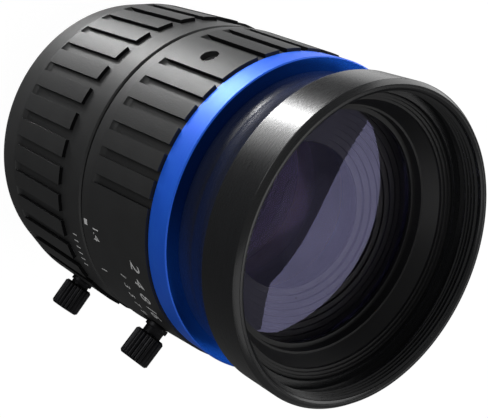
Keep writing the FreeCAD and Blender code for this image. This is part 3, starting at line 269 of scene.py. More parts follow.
def blue_anodised(name, metallic, roughness):
    """Clear blue dye over bright turned metal."""
    finish = Finish(name)
    rings = finish.noise(finish.turned_place(0.4), 10.0, 2.0, 0.6)
    cloud = finish.noise(finish.place(), 0.6, 2.0, 0.5)
    colour = finish.mix_colour(rings * 0.6 + cloud * 0.4, (0.008, 0.11, 0.92), (0.024, 0.2, 1.0))
    rough = roughness + rings * 0.08
    bumps = finish.bump(rings, 0.25, 0.006)
    return finish.surface(finish.principled({"Base Color": colour, "Roughness": rough, "Metallic": metallic,
                                             "Normal": bumps}))


def bare_metal(name, dark, light, roughness):
    """Turned metal with its cutting marks and a little tarnish."""
    finish = Finish(name)
    rings = finish.noise(finish.turned_place(0.5), 9.0, 3.0, 0.6)
    tarnish = finish.noise(finish.place(), 0.8, 4.0, 0.6)
    colour = finish.mix_colour(rings * 0.5 + tarnish * 0.5, dark, light)
    rough = roughness + rings * 0.1 + tarnish * 0.08
    bumps = finish.bump(rings, 0.3, 0.008)
    return finish.surface(finish.principled({"Base Color": colour, "Roughness": rough, "Metallic": 1.0,
                                             "Normal": bumps}))


def coated_glass(name, reflection, body, front_share, rear_share, middle, ior=1.5):
    """Ground glass with a thin coating: clear to look through, tinted where it reflects. The faces in front
    of and behind the middle height reflect their own share."""
    finish = Finish(name)
    clear = finish.add("ShaderNodeBsdfRefraction", None, {"Color": (*body, 1), "Roughness": 0.0, "IOR": ior})
    gloss = finish.add("ShaderNodeBsdfGlossy", None, {"Color": (*reflection, 1), "Roughness": 0.0})
    tilt = finish.add("ShaderNodeLayerWeight", None, {"Blend": 0.5}, "Facing")
    place = finish.place()
    height = finish.add("ShaderNodeSeparateXYZ", None, {0: place}, 2)
    in_front = finish.add("ShaderNodeMath", {"operation": "GREATER_THAN"}, {0: height, 1: middle})
    least = rear_share + in_front * (front_share - rear_share)
    coating = finish.noise(place, 0.2, 1.0, 0.4)
    share = least * (coating * 0.3 + 0.85) + tilt ** 5 * 0.9
    return finish.surface(finish.add("ShaderNodeMixShader", None, {0: share, 1: clear, 2: gloss}))


def paint(name, colour):
    """Filled marking paint, slightly uneven."""
    finish = Finish(name)
    cloud = finish.noise(finish.place(), 6.0, 2.0, 0.5)
    worn = finish.mix_colour(cloud, tuple(channel * 0.85 for channel in colour), colour)
    rough = 0.5 + cloud * 0.2
    return finish.surface(finish.principled({"Base Color": worn, "Roughness": rough}))


black_satin = satin_black("black_anodised_satin", (0.025, 0.0255, 0.026), 0.47)
# Painted shade: near-black put on the slot and pad walls and in the thin groove line, which are really the
# same satin black.
black_painted_shade = satin_black("black_anodised_painted_shade", (0.004, 0.004, 0.0045), 0.6, 5.0, 0.02, 0.12)
# Paler broken edges: partly handling wear, partly a painted highlight along each edge.
black_edge_wear_and_highlight = satin_black("black_anodised_edge_wear_and_highlight", (0.05, 0.05, 0.052), 0.32, 3.0, 0.01, 0.7)
black_hood = turned_black("black_anodised_hood", (0.010, 0.0105, 0.0115), 0.27)
black_inner = turned_black("black_anodised_inner", (0.007, 0.007, 0.0075), 0.46, 6.0, 0.012)
black_baffle = turned_black("black_anodised_baffle", (0.006, 0.005, 0.0055), 0.42, 4.0, 0.004)
black_screw = bare_metal("black_oxide_screw", (0.012, 0.012, 0.013), (0.03, 0.03, 0.032), 0.3)
black_blade = turned_black("black_blade_steel", (0.02, 0.02, 0.022), 0.42, 4.0, 0.004)
blue_side = blue_anodised("blue_anodised_side", 0.35, 0.42)
blue_face = blue_anodised("blue_anodised_face", 1.0, 0.16)
brass = bare_metal("turned_brass", (0.50, 0.33, 0.10), (0.83, 0.60, 0.24), 0.24)
steel = bare_metal("plain_steel", (0.36, 0.36, 0.37), (0.62, 0.62, 0.63), 0.22)
front_glass = coated_glass("front_glass_coated", (0.60, 0.585, 0.98), (0.97, 0.965, 0.985),
                           0.004, 0.065, 47.0)
second_glass = coated_glass("second_glass_coated", (0.60, 0.45, 0.95), (0.98, 0.98, 0.985),
                            0.006, 0.003, 40.8)
inner_glass = coated_glass("inner_glass_coated", (0.66, 0.45, 0.80), (0.985, 0.99, 0.985),
                           0.002, 0.002, 25.0)
white_paint = paint("white_marking_paint", (0.78, 0.78, 0.78))


def eased(corners, size, steps=2):
    """Rounds each corner of a closed outline of (radius, z) points."""
    rounded = []
    count = len(corners)
    for k, corner in enumerate(corners):
        here = Vector(corner)
        to_last = Vector(corners[k - 1]) - here
        to_next = Vector(corners[(k + 1) % count]) - here
        bend = math.pi - to_last.angle(to_next)
        if bend < math.radians(20):
            rounded.append(tuple(here))
            continue
        cut = min(size, to_last.length * 0.35, to_next.length * 0.35)
        start = here + to_last.normalized() * cut
        end = here + to_next.normalized() * cut
        for step in range(steps + 1):
            share = step / steps
            rounded.append(tuple(start.lerp(here, share).lerp(here.lerp(end, share), share)))
    return rounded


def new_piece(name, mesh, material, body, slot, replaced=(), *more_materials):
    piece = bpy.data.objects.new(name, mesh)
    bpy.context.scene.collection.objects.link(piece)
    for surface in (material, *more_materials):
        mesh.materials.append(surface)
    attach(piece, body)
    if replaced:
        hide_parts(*replaced)
    return piece


def smooth(piece, angle=40):
    """Smooth shading that keeps hard corners, with flats kept flat."""
    for face in piece.data.polygons:
        face.use_smooth = True
    piece.data.set_sharp_from_angle(angle=math.radians(angle))
    weighted = piece.modifiers.new("flat faces stay flat", "WEIGHTED_NORMAL")
    weighted.keep_sharp = True
    return piece


def spun(corners, steps=TURN_STEPS):
    """Points and faces of a closed (radius, z) outline turned once about Z; a point on the axis is
    shared."""
    points = []
    rings = []
    for radius, z in corners:
        if radius < 1e-6:
            rings.append([len(points)] * steps)
            points.append(Vector((0, 0, z)))
            continue
        rings.append([len(points) + k for k in range(steps)])
        for k in range(steps):
            turn = math.tau * k / steps
            points.append(Vector((radius * math.cos(turn), radius * math.sin(turn), z)))
    faces = []
    for first, second in zip(rings, rings[1:] + rings[:1]):
        for k in range(steps):
            corner_loop = (first[k], first[(k + 1) % steps], second[(k + 1) % steps], second[k])
            distinct = list(dict.fromkeys(corner_loop))
            if len(distinct) > 2:
                faces.append(distinct)
    return points, faces


def helix_ridge(base, crest, pitch, start, end, steps=160):
    """A V-shaped ridge wound on a cylinder from one height to another, run out to nothing at its ends."""
    turns = (end - start) / pitch - 1
    count = int(turns * steps)
    points = []
    for k in range(count + 1):
        turn = math.tau * k / steps
        middle = start + pitch / 2 + pitch * k / steps
        rise = min(1, 4 * k / steps, 4 * (count - k) / steps)
        top = base + (crest - base) * max(rise, 0.02)
        for radius, z in ((base, middle - pitch * 0.46), (top, middle - pitch * 0.06),
                          (top, middle + pitch * 0.06), (base, middle + pitch * 0.46)):
            points.append(Vector((radius * math.cos(turn), radius * math.sin(turn), z)))
    faces = []
    for k in range(count):
        for side in range(4):
            here, there = 4 * k + side, 4 * k + (side + 1) % 4
            faces.append((here, there, there + 4, here + 4))
    faces.append((3, 2, 1, 0))
    faces.append(tuple(4 * count + side for side in range(4)))
    return points, faces


def mesh_of(name, *parts, place=None, painted_shade=()):
    """One mesh of several (points, faces) shells in millimetres, with its faces turned outward. Faces
    flagged as painted shade take the second material, a near-black that paints shade onto them."""
    work = bmesh.new()
    for points, faces in parts:
        corners = [work.verts.new(point * MM) for point in points]
        for number, face in enumerate(faces):
            made = work.faces.new([corners[k] for k in face])
            made.material_index = int(bool(painted_shade) and painted_shade[number])
    if place:
        bmesh.ops.transform(work, matrix=place, verts=work.verts)
    bmesh.ops.recalc_face_normals(work, faces=work.faces)
    mesh = bpy.data.meshes.new(name)
    work.to_mesh(mesh)
    work.free()
    return mesh


def turned_piece(name, corners, material, body, slot, replaced=(), ease=0.08, extra=()):
    shell = spun(eased(corners, ease))
    return smooth(new_piece(name, mesh_of(name, shell, *extra), material, body, slot, replaced))


def radial_frame(angle, height):
    """Turns a shape made on the Z axis to point out from the optical axis at an angle and height."""
    lean = Matrix.Rotation(math.radians(90), 4, "Y")
    return Matrix.Translation((0, 0, height * MM)) @ Matrix.Rotation(math.radians(angle), 4, "Z") @ lean


class GripRing:
    """A ring's mesh from columns of cells. Each cell lies on a named surface, and where two
    neighbours lie on different surfaces a wall joins them. The walls and the thin line's cells are flagged
    for painted shade."""

    def __init__(self, surfaces, angles, heights, cell_surface):
        self.surfaces = surfaces
        self.angles = angles
        self.heights = heights
        self.rows = len(heights) - 1
        self.cell_surface = cell_surface
        self.points = []
        self.faces = []
        self.painted_shade = []
        self.known = {}

    def surface_at(self, column, row):
        return self.cell_surface(column % len(self.angles), row)

    def vertex(self, line, row, surface):
        line %= len(self.angles)
        z = self.heights[row]
        radius = self.surfaces[surface](z)
        key = (line, round(z, 5), round(radius, 5))
        if key not in self.known:
            turn = math.radians(self.angles[line])
            self.known[key] = len(self.points)
            self.points.append(Vector((radius * math.cos(turn), radius * math.sin(turn), z)))
        return self.known[key]

    def ladder(self, line, row, start, end):
        """The corners on one radial line between two surfaces, ends included."""
        z = self.heights[row]
        near = [self.surface_at(c, r) for c in (line - 1, line) for r in (row - 1, row)
                if 0 <= r < self.rows]
        low, high = self.surfaces[start](z), self.surfaces[end](z)
        between = {}
        for surface in near:
            radius = self.surfaces[surface](z)
            if min(low, high) + 1e-4 < radius < max(low, high) - 1e-4:
                between[round(radius, 5)] = surface
        order = sorted(between, reverse=low > high)
        return ([self.vertex(line, row, start)] + [self.vertex(line, row, between[r]) for r in order]
                + [self.vertex(line, row, end)])

    def face(self, corners, painted_shade=False):
        distinct = list(dict.fromkeys(corners))
        if len(distinct) > 2:
            self.faces.append(distinct)
            self.painted_shade.append(painted_shade)

    def build(self, bore):
        count = len(self.angles)
        for column in range(count):
            for row in range(self.rows):
                mine = self.surface_at(column, row)
                # The thin line's cells and every wall below get painted shade.
                self.face([self.vertex(column, row, mine), self.vertex(column + 1, row, mine),
                           self.vertex(column + 1, row + 1, mine), self.vertex(column, row + 1, mine)],
                          mine == "line")
                beside = self.surface_at(column + 1, row)
                if beside != mine:
                    self.face(self.ladder(column + 1, row, mine, beside)
                              + self.ladder(column + 1, row + 1, beside, mine), True)
                if row + 1 < self.rows:
                    above = self.surface_at(column, row + 1)
                    if above != mine:
                        self.face(self.ladder(column, row + 1, above, mine)
                                  + self.ladder(column + 1, row + 1, mine, above), True)
        loops = []
        for radius, z in bore:
            loop = []
            for angle in self.angles:
                turn = math.radians(angle)
                loop.append(len(self.points))
                self.points.append(Vector((radius * math.cos(turn), radius * math.sin(turn), z)))
            loops.append(loop)
        lowest = [min((self.surface_at(c, self.rows - 1) for c in (line - 1, line)),
                      key=lambda name: self.surfaces[name](self.heights[-1]))
                  for line in range(count)]
        for column in range(count):
            after = (column + 1) % count
            top = self.surface_at(column, self.rows - 1)
            self.face([loops[0][after], loops[0][column]]
                      + self.ladder(column, self.rows, lowest[column], top)
                      + self.ladder(after, self.rows, top, lowest[after]))
            bottom = self.surface_at(column, 0)
            self.face([loops[-1][column], loops[-1][after], self.vertex(after, 0, bottom),
                       self.vertex(column, 0, bottom)])
            for upper, lower in zip(loops, loops[1:]):
                self.face([upper[column], upper[after], lower[after], lower[column]])
        return self.points, self.faces


def spread(start, end, largest):
    """Angles from start up to but without end, in equal steps of no more than the largest."""
    count = max(1, math.ceil((end - start) / largest - 1e-9))
    return [start + (end - start) * k / count for k in range(count)]


def slot_columns(centres, half_angle, arc_steps, between):
    """Angles of all column lines and, for each column, the slot centre that it lies in, or None."""
    angles, owners = [], []
    centres = sorted(centres)
    for k, centre in enumerate(centres):
        following = centres[k + 1] if k + 1 < len(centres) else centres[0] + 360
        for step in range(arc_steps):
            bend = -math.pi / 2 + math.pi * step / arc_steps
            angles.append(centre + half_angle * math.sin(bend))
            owners.append(centre)
        for angle in spread(centre + half_angle, following - half_angle, between):
            angles.append(angle)
            owners.append(None)
    return angles, owners


def cut_by(piece, cutters):
    """Subtracts round cutters from a piece and keeps the result as its mesh."""
    for number, cutter in enumerate(cutters):
        modifier = piece.modifiers.new(f"cut {number}", "BOOLEAN")
        modifier.operation = "DIFFERENCE"
        modifier.solver = "EXACT"
        modifier.object = cutter
    bpy.context.view_layer.update()
    seen = piece.evaluated_get(bpy.context.evaluated_depsgraph_get())
    mesh = bpy.data.meshes.new_from_object(seen)
    piece.modifiers.clear()
    old = piece.data
    piece.data = mesh
    bpy.data.meshes.remove(old)
    for cutter in cutters:
        shape = cutter.data
        bpy.data.objects.remove(cutter)
        bpy.data.meshes.remove(shape)


def round_cutter(radius, inner, outer, angle, height, sides=64):
    shell = spun([(0, inner), (radius, inner), (radius, outer), (0, outer)], sides)
    cutter = bpy.data.objects.new("cutter", mesh_of("cutter", shell, place=radial_frame(angle, height)))
    bpy.context.scene.collection.objects.link(cutter)
    return cutter


def lock_hole(spot):
    """Cutters for a lock screw's hole and the flat seat round it."""
    angle, height, radius, _, _ = spot
    return [round_cutter(LOCK_HOLE, HOLE_START, radius + 1, angle, height),
            round_cutter(SPOT_FACE_RADIUS, radius - SPOT_FACE_DEPTH, radius + 1, angle, height)]


def soften_edges(piece, width=0.07):
    """Breaks the sharp edges and gives them a paler colour, partly the wear of a handled edge and partly a
    painted highlight.
    """
    piece.data.materials.append(black_edge_wear_and_highlight)
    bevel = piece.modifiers.new("broken edges", "BEVEL")
    bevel.material = len(piece.data.materials) - 1
    bevel.width = width * MM
    bevel.segments = 2
    bevel.limit_method = "ANGLE"
    bevel.angle_limit = math.radians(48)
    bevel.use_clamp_overlap = True
    return piece


def clear_of(angle, centre, reach):
    return abs((angle - centre + 180) % 360 - 180) > reach


def focus_band(z):
    return BAND_RADIUS - max(0, z - (FOCUS_FRONT - EDGE))


def focus_grip_ring():
    half = FOCUS_SLOT_WIDTH / 2
    half_angle = math.degrees(half / BAND_RADIUS)
    pitch = 360 / FOCUS_SLOTS
    centres = [FOCUS_SLOT_START + pitch * k for k in range(FOCUS_SLOTS)]
    centres = [c for c in centres if clear_of(c, LOCK_FOCUS[0], pitch / 2)]
    angles, owners = slot_columns(centres, half_angle, 2, 1.4)

    def grip(z):
        if z < FOCUS_REAR + EDGE:
            return FOCUS_REAR_RADIUS - EDGE + (z - FOCUS_REAR)
        if z < FOCUS_PAD_START:
            share = (z - FOCUS_REAR - EDGE) / (FOCUS_PAD_START - FOCUS_REAR - EDGE)
            return FOCUS_REAR_RADIUS + (FOCUS_PAD_RADIUS - FOCUS_REAR_RADIUS) * share
        return FOCUS_PAD_RADIUS

    slot_start = FOCUS_PAD_START + RUN_OUT_START

    def run_out(z):
        share = (z - slot_start) / RUN_OUT
        return FOCUS_PAD_RADIUS - (FOCUS_PAD_RADIUS - BAND_RADIUS) * math.sqrt(share)

    heights = [FOCUS_REAR, FOCUS_REAR + EDGE, FOCUS_PAD_START, slot_start, slot_start + RUN_OUT / 4,
               slot_start + RUN_OUT, FOCUS_PAD_END, FOCUS_FRONT - EDGE, FOCUS_FRONT]

    def cell_surface(column, row):
        z = heights[row]
        if z >= FOCUS_PAD_END:
            return "band"
        if z < slot_start or owners[column] is None:
            return "grip"
        return "run_out" if z < slot_start + RUN_OUT else "band"

    ring = GripRing({"grip": grip, "band": focus_band, "run_out": run_out}, angles, heights, cell_surface)
    shell = ring.build([(FOCUS_BORE, FOCUS_FRONT), (FOCUS_BORE, RIB_END), (FOCUS_RIB_BORE, RIB_END),
                        (FOCUS_RIB_BORE, RIB_START), (FOCUS_BORE, RIB_START), (FOCUS_BORE, FOCUS_REAR)])
    piece = new_piece("focus_grip_ring", mesh_of("focus_grip_ring", shell, painted_shade=ring.painted_shade), black_satin,
                      "focus_ring", "black_anodised", ("focus_ring",), black_painted_shade)
    cut_by(piece, lock_hole(LOCK_FOCUS))
    return smooth(soften_edges(piece))


def iris_pad(z):
    share = (z - IRIS_PAD_START) / (IRIS_FRONT - IRIS_PAD_START)
    return IRIS_PAD_REAR + (IRIS_PAD_FRONT - IRIS_PAD_REAR) * share


def iris_label(z):
    """The smooth sector's radius, and the rear band's behind it."""
    return IRIS_BAND_RADIUS if z < IRIS_LINE_START else iris_pad(z) - IRIS_LABEL_DROP


def iris_grip_ring():
    half_angle = math.degrees(IRIS_SLOT_WIDTH / 2 / IRIS_PAD_REAR)
    centres = [IRIS_SLOT_LAST - IRIS_SLOT_PITCH * k for k in range(IRIS_SLOT_COUNT) if k != IRIS_WIDE_PAD]
    first = min(centres)
    angles, owners = slot_columns(centres, half_angle, 2, 1.4)

    def band(z):
        return IRIS_BAND_RADIUS - max(0, IRIS_REAR + EDGE - z)

    slot_start = IRIS_PAD_START + RUN_OUT_START

    def run_out(z):
        return iris_pad(z) - IRIS_SLOT_DEPTH * math.sqrt((z - slot_start) / RUN_OUT)

    surfaces = {"band": band, "line": lambda z: IRIS_BAND_RADIUS - 0.12, "pad": iris_pad, "run_out": run_out,
                "slot": lambda z: iris_pad(z) - IRIS_SLOT_DEPTH, "label": iris_label}
    heights = [IRIS_REAR, IRIS_REAR + EDGE, IRIS_LINE_START, IRIS_PAD_START, slot_start,
               slot_start + RUN_OUT / 4, slot_start + RUN_OUT, IRIS_FRONT]

    def cell_surface(column, row):
        z = heights[row]
        if z < IRIS_LINE_START:
            return "band"
        if IRIS_SLOT_LAST < angles[column] < first + 360:
            return "label"
        if z < IRIS_PAD_START:
            return "line"
        if owners[column] is None or z < slot_start:
            return "pad"
        return "run_out" if z < slot_start + RUN_OUT else "slot"

    ring = GripRing(surfaces, angles, heights, cell_surface)
    shell = ring.build([(IRIS_BORE, IRIS_FRONT), (IRIS_BORE, IRIS_STEP), (IRIS_COUNTERBORE, IRIS_STEP),
                        (IRIS_COUNTERBORE, IRIS_REAR)])
    piece = new_piece("iris_grip_ring", mesh_of("iris_grip_ring", shell, painted_shade=ring.painted_shade), black_satin,
                      "iris_ring", "black_anodised", ("iris_ring",), black_painted_shade)
    drive_hole = round_cutter(DRIVE_HOLE, HOLE_START, IRIS_PAD_REAR + 1, *DRIVE_SCREW)
    cut_by(piece, lock_hole(LOCK_IRIS) + [drive_hole])
    return smooth(soften_edges(piece))


def knurled_head(bottom, length, radius, valley, chamfer, ridges):
    """Straight knurl with rounded ridges and turned-off ends, made on the Z axis."""
    steps = ridges * 8
    rows = [(bottom, radius - chamfer), (bottom + chamfer, radius), (bottom + length - chamfer, radius),
            (bottom + length, radius - chamfer)]
    points, faces = [], []
    for z, limit in rows:
        for k in range(steps):
            turn = math.tau * k / steps
            wave = abs(math.cos(ridges * turn / 2)) ** 0.8
            reach = min(limit, valley + (radius - valley) * wave)
            points.append(Vector((reach * math.cos(turn), reach * math.sin(turn), z)))
    for row in range(len(rows) - 1):
        for k in range(steps):
            after = (k + 1) % steps
            faces.append((row * steps + k, row * steps + after, (row + 1) * steps + after,
                          (row + 1) * steps + k))
    faces.append(tuple(range(steps - 1, -1, -1)))
    faces.append(tuple(range(len(points) - steps, len(points))))
    return points, faces


def lock_screw(name, node, body, spot):
    angle, height, ring_radius, tip, groove = spot
    collar = ring_radius - 0.15
    groove_start = collar + 0.6
    head = groove_start + groove
    shaft = spun(eased([(0, tip), (LOCK_STEM - 0.15, tip), (LOCK_STEM, tip + 0.15), (LOCK_STEM, collar),
                        (LOCK_COLLAR, collar), (LOCK_COLLAR, groove_start), (LOCK_GROOVE, groove_start),
                        (LOCK_GROOVE, head + 0.1), (0, head + 0.1)], 0.05), SCREW_TURN_STEPS)
    cap = knurled_head(head, HEAD_LENGTH, HEAD_RADIUS, HEAD_VALLEY, HEAD_CHAMFER, HEAD_RIDGES)
    mesh = mesh_of(name, shaft, cap, place=radial_frame(angle, height))
    return smooth(new_piece(name, mesh, black_screw, body, "blackened_screw", (node,)), 30)


def drive_screw():
    """Headless screw set deep in the wide pad, with a hexagonal socket and a plain tip."""
    angle, height = DRIVE_SCREW
    top = DRIVE_SCREW_TOP
    tip = DRIVE_SCREW_TIP
    shell = spun(eased([(0, tip), (DRIVE_TIP_RADIUS - 0.15, tip), (DRIVE_TIP_RADIUS, tip + 0.15),
                        (DRIVE_TIP_RADIUS, DRIVE_SCREW_SHOULDER), (DRIVE_BODY_RADIUS, DRIVE_SCREW_SHOULDER),
                        (DRIVE_BODY_RADIUS, top - 0.12), (DRIVE_BODY_RADIUS - 0.12, top), (0.3, top),
                        (0, top)], 0.05), SCREW_TURN_STEPS)
    piece = new_piece("iris_set_screw", mesh_of("iris_set_screw", shell, place=radial_frame(angle, height)),
                      steel, "iris_ring", "steel", ("iris_drive_screw",))
    corner = SOCKET_WIDTH / math.sqrt(3)
    cut_by(piece, [round_cutter(corner, top - SOCKET_DEPTH, top + 1, angle, height, 6)])
    return smooth(piece, 30)


def hood_piece():
    steps = 10
    flare = []
    for k in range(steps + 1):
        share = k / steps
        hollow = 0.16 * math.sin(math.pi * share)
        flare.append((NECK_RADIUS + (HOOD_RADIUS - NECK_RADIUS) * share - hollow,
                      FLARE_START + (FLARE_END - FLARE_START) * share + hollow))
    corners = flare + [
        (HOOD_RADIUS, HOOD_FRONT - 0.66), (HOOD_RADIUS - 0.5, HOOD_FRONT), (FILTER_RADIUS + 0.3, HOOD_FRONT),
        (FILTER_RADIUS, HOOD_FRONT - 0.3), (FILTER_RADIUS, THREAD_END), (FILTER_RADIUS + 0.2, THREAD_END),
        (FILTER_RADIUS + 0.2, LEDGE_TOP), (LEDGE_RADIUS, LEDGE_TOP), (LEDGE_RADIUS, BARREL_FRONT),
        (FRONT_THREAD_RADIUS + 0.02, BARREL_FRONT), (FRONT_THREAD_RADIUS + 0.02, ACCENT_FRONT),
        (NECK_RADIUS, ACCENT_FRONT)]
    thread = helix_ridge(FILTER_RADIUS + 0.02, FILTER_RADIUS - 0.27, FILTER_PITCH, THREAD_END,
                         HOOD_FRONT - 0.25)
    return turned_piece("flared_hood", corners, black_hood, "front_unit", "black_anodised", ("hood",),
                        ease=0.06, extra=[thread])


def accent_piece():
    """The blue ring, with a brighter polish on its front face."""
    inner = FRONT_THREAD_RADIUS + 0.02
    chamfer = 0.15
    corners = [(inner, ACCENT_REAR), (ACCENT_RADIUS - chamfer, ACCENT_REAR),
               (ACCENT_RADIUS, ACCENT_REAR + chamfer), (ACCENT_RADIUS, ACCENT_FRONT - chamfer),
               (ACCENT_RADIUS - chamfer, ACCENT_FRONT), (inner, ACCENT_FRONT)]
    piece = turned_piece("blue_accent_ring", corners, blue_side, "front_unit", "blue_anodised",
                         ("accent_ring",), ease=0.04)
    piece.data.materials.append(blue_face)
    for face in piece.data.polygons:
        face.material_index = int(face.normal.z > 0.9)
    return piece


def front_ring_piece():
    corners = [(RING_BORE, RING_REAR), (RING_RADIUS, RING_REAR), (RING_RADIUS, BARREL_FRONT),
               (RING_FLANGE_RADIUS, BARREL_FRONT), (RING_FLANGE_RADIUS, RING_FRONT)]
    for k in range(RING_STEPS):
        radius = RING_STEP_RADIUS + (RING_STEPS - 1 - k) * RING_STEP
        corners += [(radius, RING_FRONT - k * RING_STEP), (radius, RING_FRONT - (k + 1) * RING_STEP)]
    cone_base = RING_FRONT - RING_STEPS * RING_STEP - CONE_DEPTH
    corners += [(CONE_RADIUS, cone_base), (CONE_BORE, cone_base), (CONE_BORE, RING_REAR + RING_LIP),
                (RING_BORE, RING_REAR + RING_LIP)]
    return turned_piece("stepped_glass_ring", corners, black_inner, "front_unit", "inner_black_anodised",
                        ("front_retaining_ring",), ease=0.05)


def front_cell_piece():
    corners = [(CELL_BORE, CELL_REAR), (CELL_RADIUS, CELL_REAR), (CELL_RADIUS, CELL_FRONT),
               (GLASS_POCKET, CELL_FRONT), (GLASS_POCKET, GLASS_SEAT), (BAFFLE_RADIUS, GLASS_SEAT)]
    for k in range(BAFFLE_STEPS):
        radius = BAFFLE_RADIUS - k * BAFFLE_STEP_WIDTH
        height = BAFFLE_FRONT - k * BAFFLE_STEP_DEPTH
        corners += [(radius, height), (radius - BAFFLE_STEP_WIDTH, height)]
    shelf = BAFFLE_RADIUS - BAFFLE_STEPS * BAFFLE_STEP_WIDTH
    corners += [(shelf, BAFFLE_REAR), (RETAINER_HOLLOW, BAFFLE_REAR), (RETAINER_HOLLOW, SECOND_POCKET_FRONT),
                (SECOND_POCKET, SECOND_POCKET_FRONT), (SECOND_POCKET, SECOND_SEAT), (CELL_BORE, SECOND_SEAT)]
    return turned_piece("stepped_front_cell", corners, black_baffle, "front_unit", "inner_black_anodised",
                        ("front_cell",), ease=0.05)


def lens_piece(name, node, shape, material):
    """A ground lens. A positive curve bulges outward, and a negative one is hollow."""
    radius, rear_crown, thickness, rear_curve, front_curve = shape
    steps = 24

    def sag(curve, reach):
        return math.copysign(abs(curve) - math.sqrt(curve * curve - reach * reach), curve)

    reaches = [radius * k / steps for k in range(steps + 1)]
    rear = [(reach, rear_crown + sag(rear_curve, reach)) for reach in reaches]
    front = [(reach, rear_crown + thickness - sag(front_curve, reach)) for reach in reversed(reaches)]
    mesh = mesh_of(name, spun(rear + front, GLASS_TURN_STEPS))
    return smooth(new_piece(name, mesh, material, "front_unit", "coated_glass", (node,)), 50)


def mount_piece():
    root = THREAD_RADIUS - THREAD_DEPTH
    corners = [(MOUNT_BORE, THREAD_REAR), (THREAD_RADIUS - 0.4, THREAD_REAR), (root, THREAD_REAR + 0.3),
               (root, 0), (FLANGE_RADIUS - EDGE, 0), (FLANGE_RADIUS, EDGE), (FLANGE_RADIUS, FLANGE_TOP),
               (SHOULDER_RADIUS, FLANGE_TOP), (SHOULDER_RADIUS, SHOULDER_TOP), (TUBE_RADIUS, SHOULDER_TOP),
               (TUBE_RADIUS, TUBE_FRONT), (TUBE_BORE, TUBE_FRONT), (TUBE_BORE, TUBE_FLOOR),
               (MOUNT_BORE, TUBE_FLOOR)]
    thread = helix_ridge(root - 0.03, THREAD_RADIUS, THREAD_PITCH, THREAD_REAR + 0.05, 0.3)
    return turned_piece("threaded_mount", corners, black_hood, "mount", "inner_black_anodised",
                        ("mount_barrel",), ease=0.06, extra=[thread])


def wrapped(name, outline_mesh, angle, height, surface, body):
    """Lays a flat mark on a ring: its x runs round the ring and its y along the axis. The surface gives the
    ring's radius at a height."""
    for corner in outline_mesh.vertices:
        x, y, z = corner.co / MM
        turn = math.radians(angle) + x / surface(height)
        reach = surface(height + y) + z
        corner.co = Vector((reach * math.cos(turn), reach * math.sin(turn), height + y)) * MM
    return new_piece(name, outline_mesh, white_paint, body, "black_anodised")


def number_mark(name, text, angle, height, size, surface, body, lean=0.0):
    curve = bpy.data.curves.new(name, "FONT")
    curve.body = text
    curve.shear = lean
    curve.size = size * MM
    curve.align_x = "CENTER"
    curve.align_y = "CENTER"
    curve.extrude = MARK_RISE * MM
    holder = bpy.data.objects.new(name + "_text", curve)
    bpy.context.scene.collection.objects.link(holder)
    bpy.context.view_layer.update()
    mesh = bpy.data.meshes.new_from_object(holder.evaluated_get(bpy.context.evaluated_depsgraph_get()))
    bpy.data.objects.remove(holder)
    return wrapped(name, mesh, angle, height, surface, body)


def bar_mark(name, width, length, angle, height, surface, body):
    """A straight filled line, or a small square where its sides are equal."""
    low, high = -MARK_RISE, MARK_RISE
    points = [Vector((x, y, z)) for z in (low, high) for y in (-length / 2, length / 2)
              for x in (-width / 2, width / 2)]
    faces = [(0, 2, 3, 1), (4, 5, 7, 6), (0, 1, 5, 4), (2, 6, 7, 3), (0, 4, 6, 2), (1, 3, 7, 5)]
    return wrapped(name, mesh_of(name, (points, faces)), angle, height, surface, body)


focus_grip_ring()
iris_grip_ring()
lock_screw("focus_clamp_screw", "focus_lock_screw", "focus_lock_screw", LOCK_FOCUS)
lock_screw("iris_clamp_screw", "iris_lock_screw", "iris_lock_screw", LOCK_IRIS)
drive_screw()
hood_piece()
accent_piece()
front_ring_piece()
front_cell_piece()
mount_piece()
lens_piece("front_glass", "lens_1", FRONT_GLASS_SHAPE, front_glass)
lens_piece("second_glass", "lens_2", SECOND_GLASS_SHAPE, second_glass)

bar_mark("index_square", 0.75, 0.75, 267.8, 27.95, iris_label, "iris_ring")
number_mark("aperture_1.4", "1.4", 270.3, 30.3, 1.7, iris_label, "iris_ring")
bar_mark("aperture_tick", 0.16, 1.2, 284.8, 30.2, iris_label, "iris_ring")
for number, angle in SCALE_NUMBERS:
    number_mark(f"scale_{number}", number, angle, SCALE_HEIGHT, SCALE_SIZE, iris_label, "iris_ring",
                NUMBER_LEAN)
for number, angle in ROW_NUMBERS:
    number_mark(f"row_{number}", number, angle, ROW_HEIGHT, ROW_SIZE, iris_label, "iris_ring", NUMBER_LEAN)
for count in range(TICK_COUNT):
    bar_mark(f"distance_tick_{count + 1}", 0.14, 1.0, TICK_START + TICK_PITCH * count, TICK_HEIGHT,
             focus_band, "focus_ring")

CARRIED = {
    "focus_retaining_ring": black_inner, "guide_screw_1": steel, "guide_screw_2": steel,
    "helicoid_sleeve": brass, "lens_barrel": black_inner, "iris_cam_ring": brass,
    "iris_retaining_ring": black_inner, "lens_2_retaining_ring": black_inner, "rear_cell": black_inner,
    "rear_cell_front_retainer": black_inner, "rear_spacer": black_inner, "tail_spacer": black_inner,
    "rear_retaining_ring": black_inner}
CARRIED.update({f"lens_{k}": inner_glass for k in range(3, 8)})
CARRIED.update({f"iris_blade_{k}": black_blade for k in range(1, 7)})
for node, material in CARRIED.items():
    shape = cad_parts[node].data
    shape.materials.clear()
    shape.materials.append(material)


def camera():
    """Stands where the photograph was taken from."""
    lens = bpy.data.cameras.new("photo_camera")
    lens.lens = FOCAL_LENGTH
    lens.sensor_width = 36
    lens.clip_start = 0.001
    eye = bpy.data.objects.new("photo_camera", lens)
    bpy.context.scene.collection.objects.link(eye)
    right = Vector(CAMERA_RIGHT).normalized()
    ahead = Vector(CAMERA_AHEAD).normalized()
    up = right.cross(ahead).normalized()
    right = ahead.cross(up)
    turn = Matrix((right, up, -ahead)).transposed().to_4x4()
    eye.matrix_world = Matrix.Translation(CAMERA_PLACE) @ turn
    bpy.context.scene.camera = eye


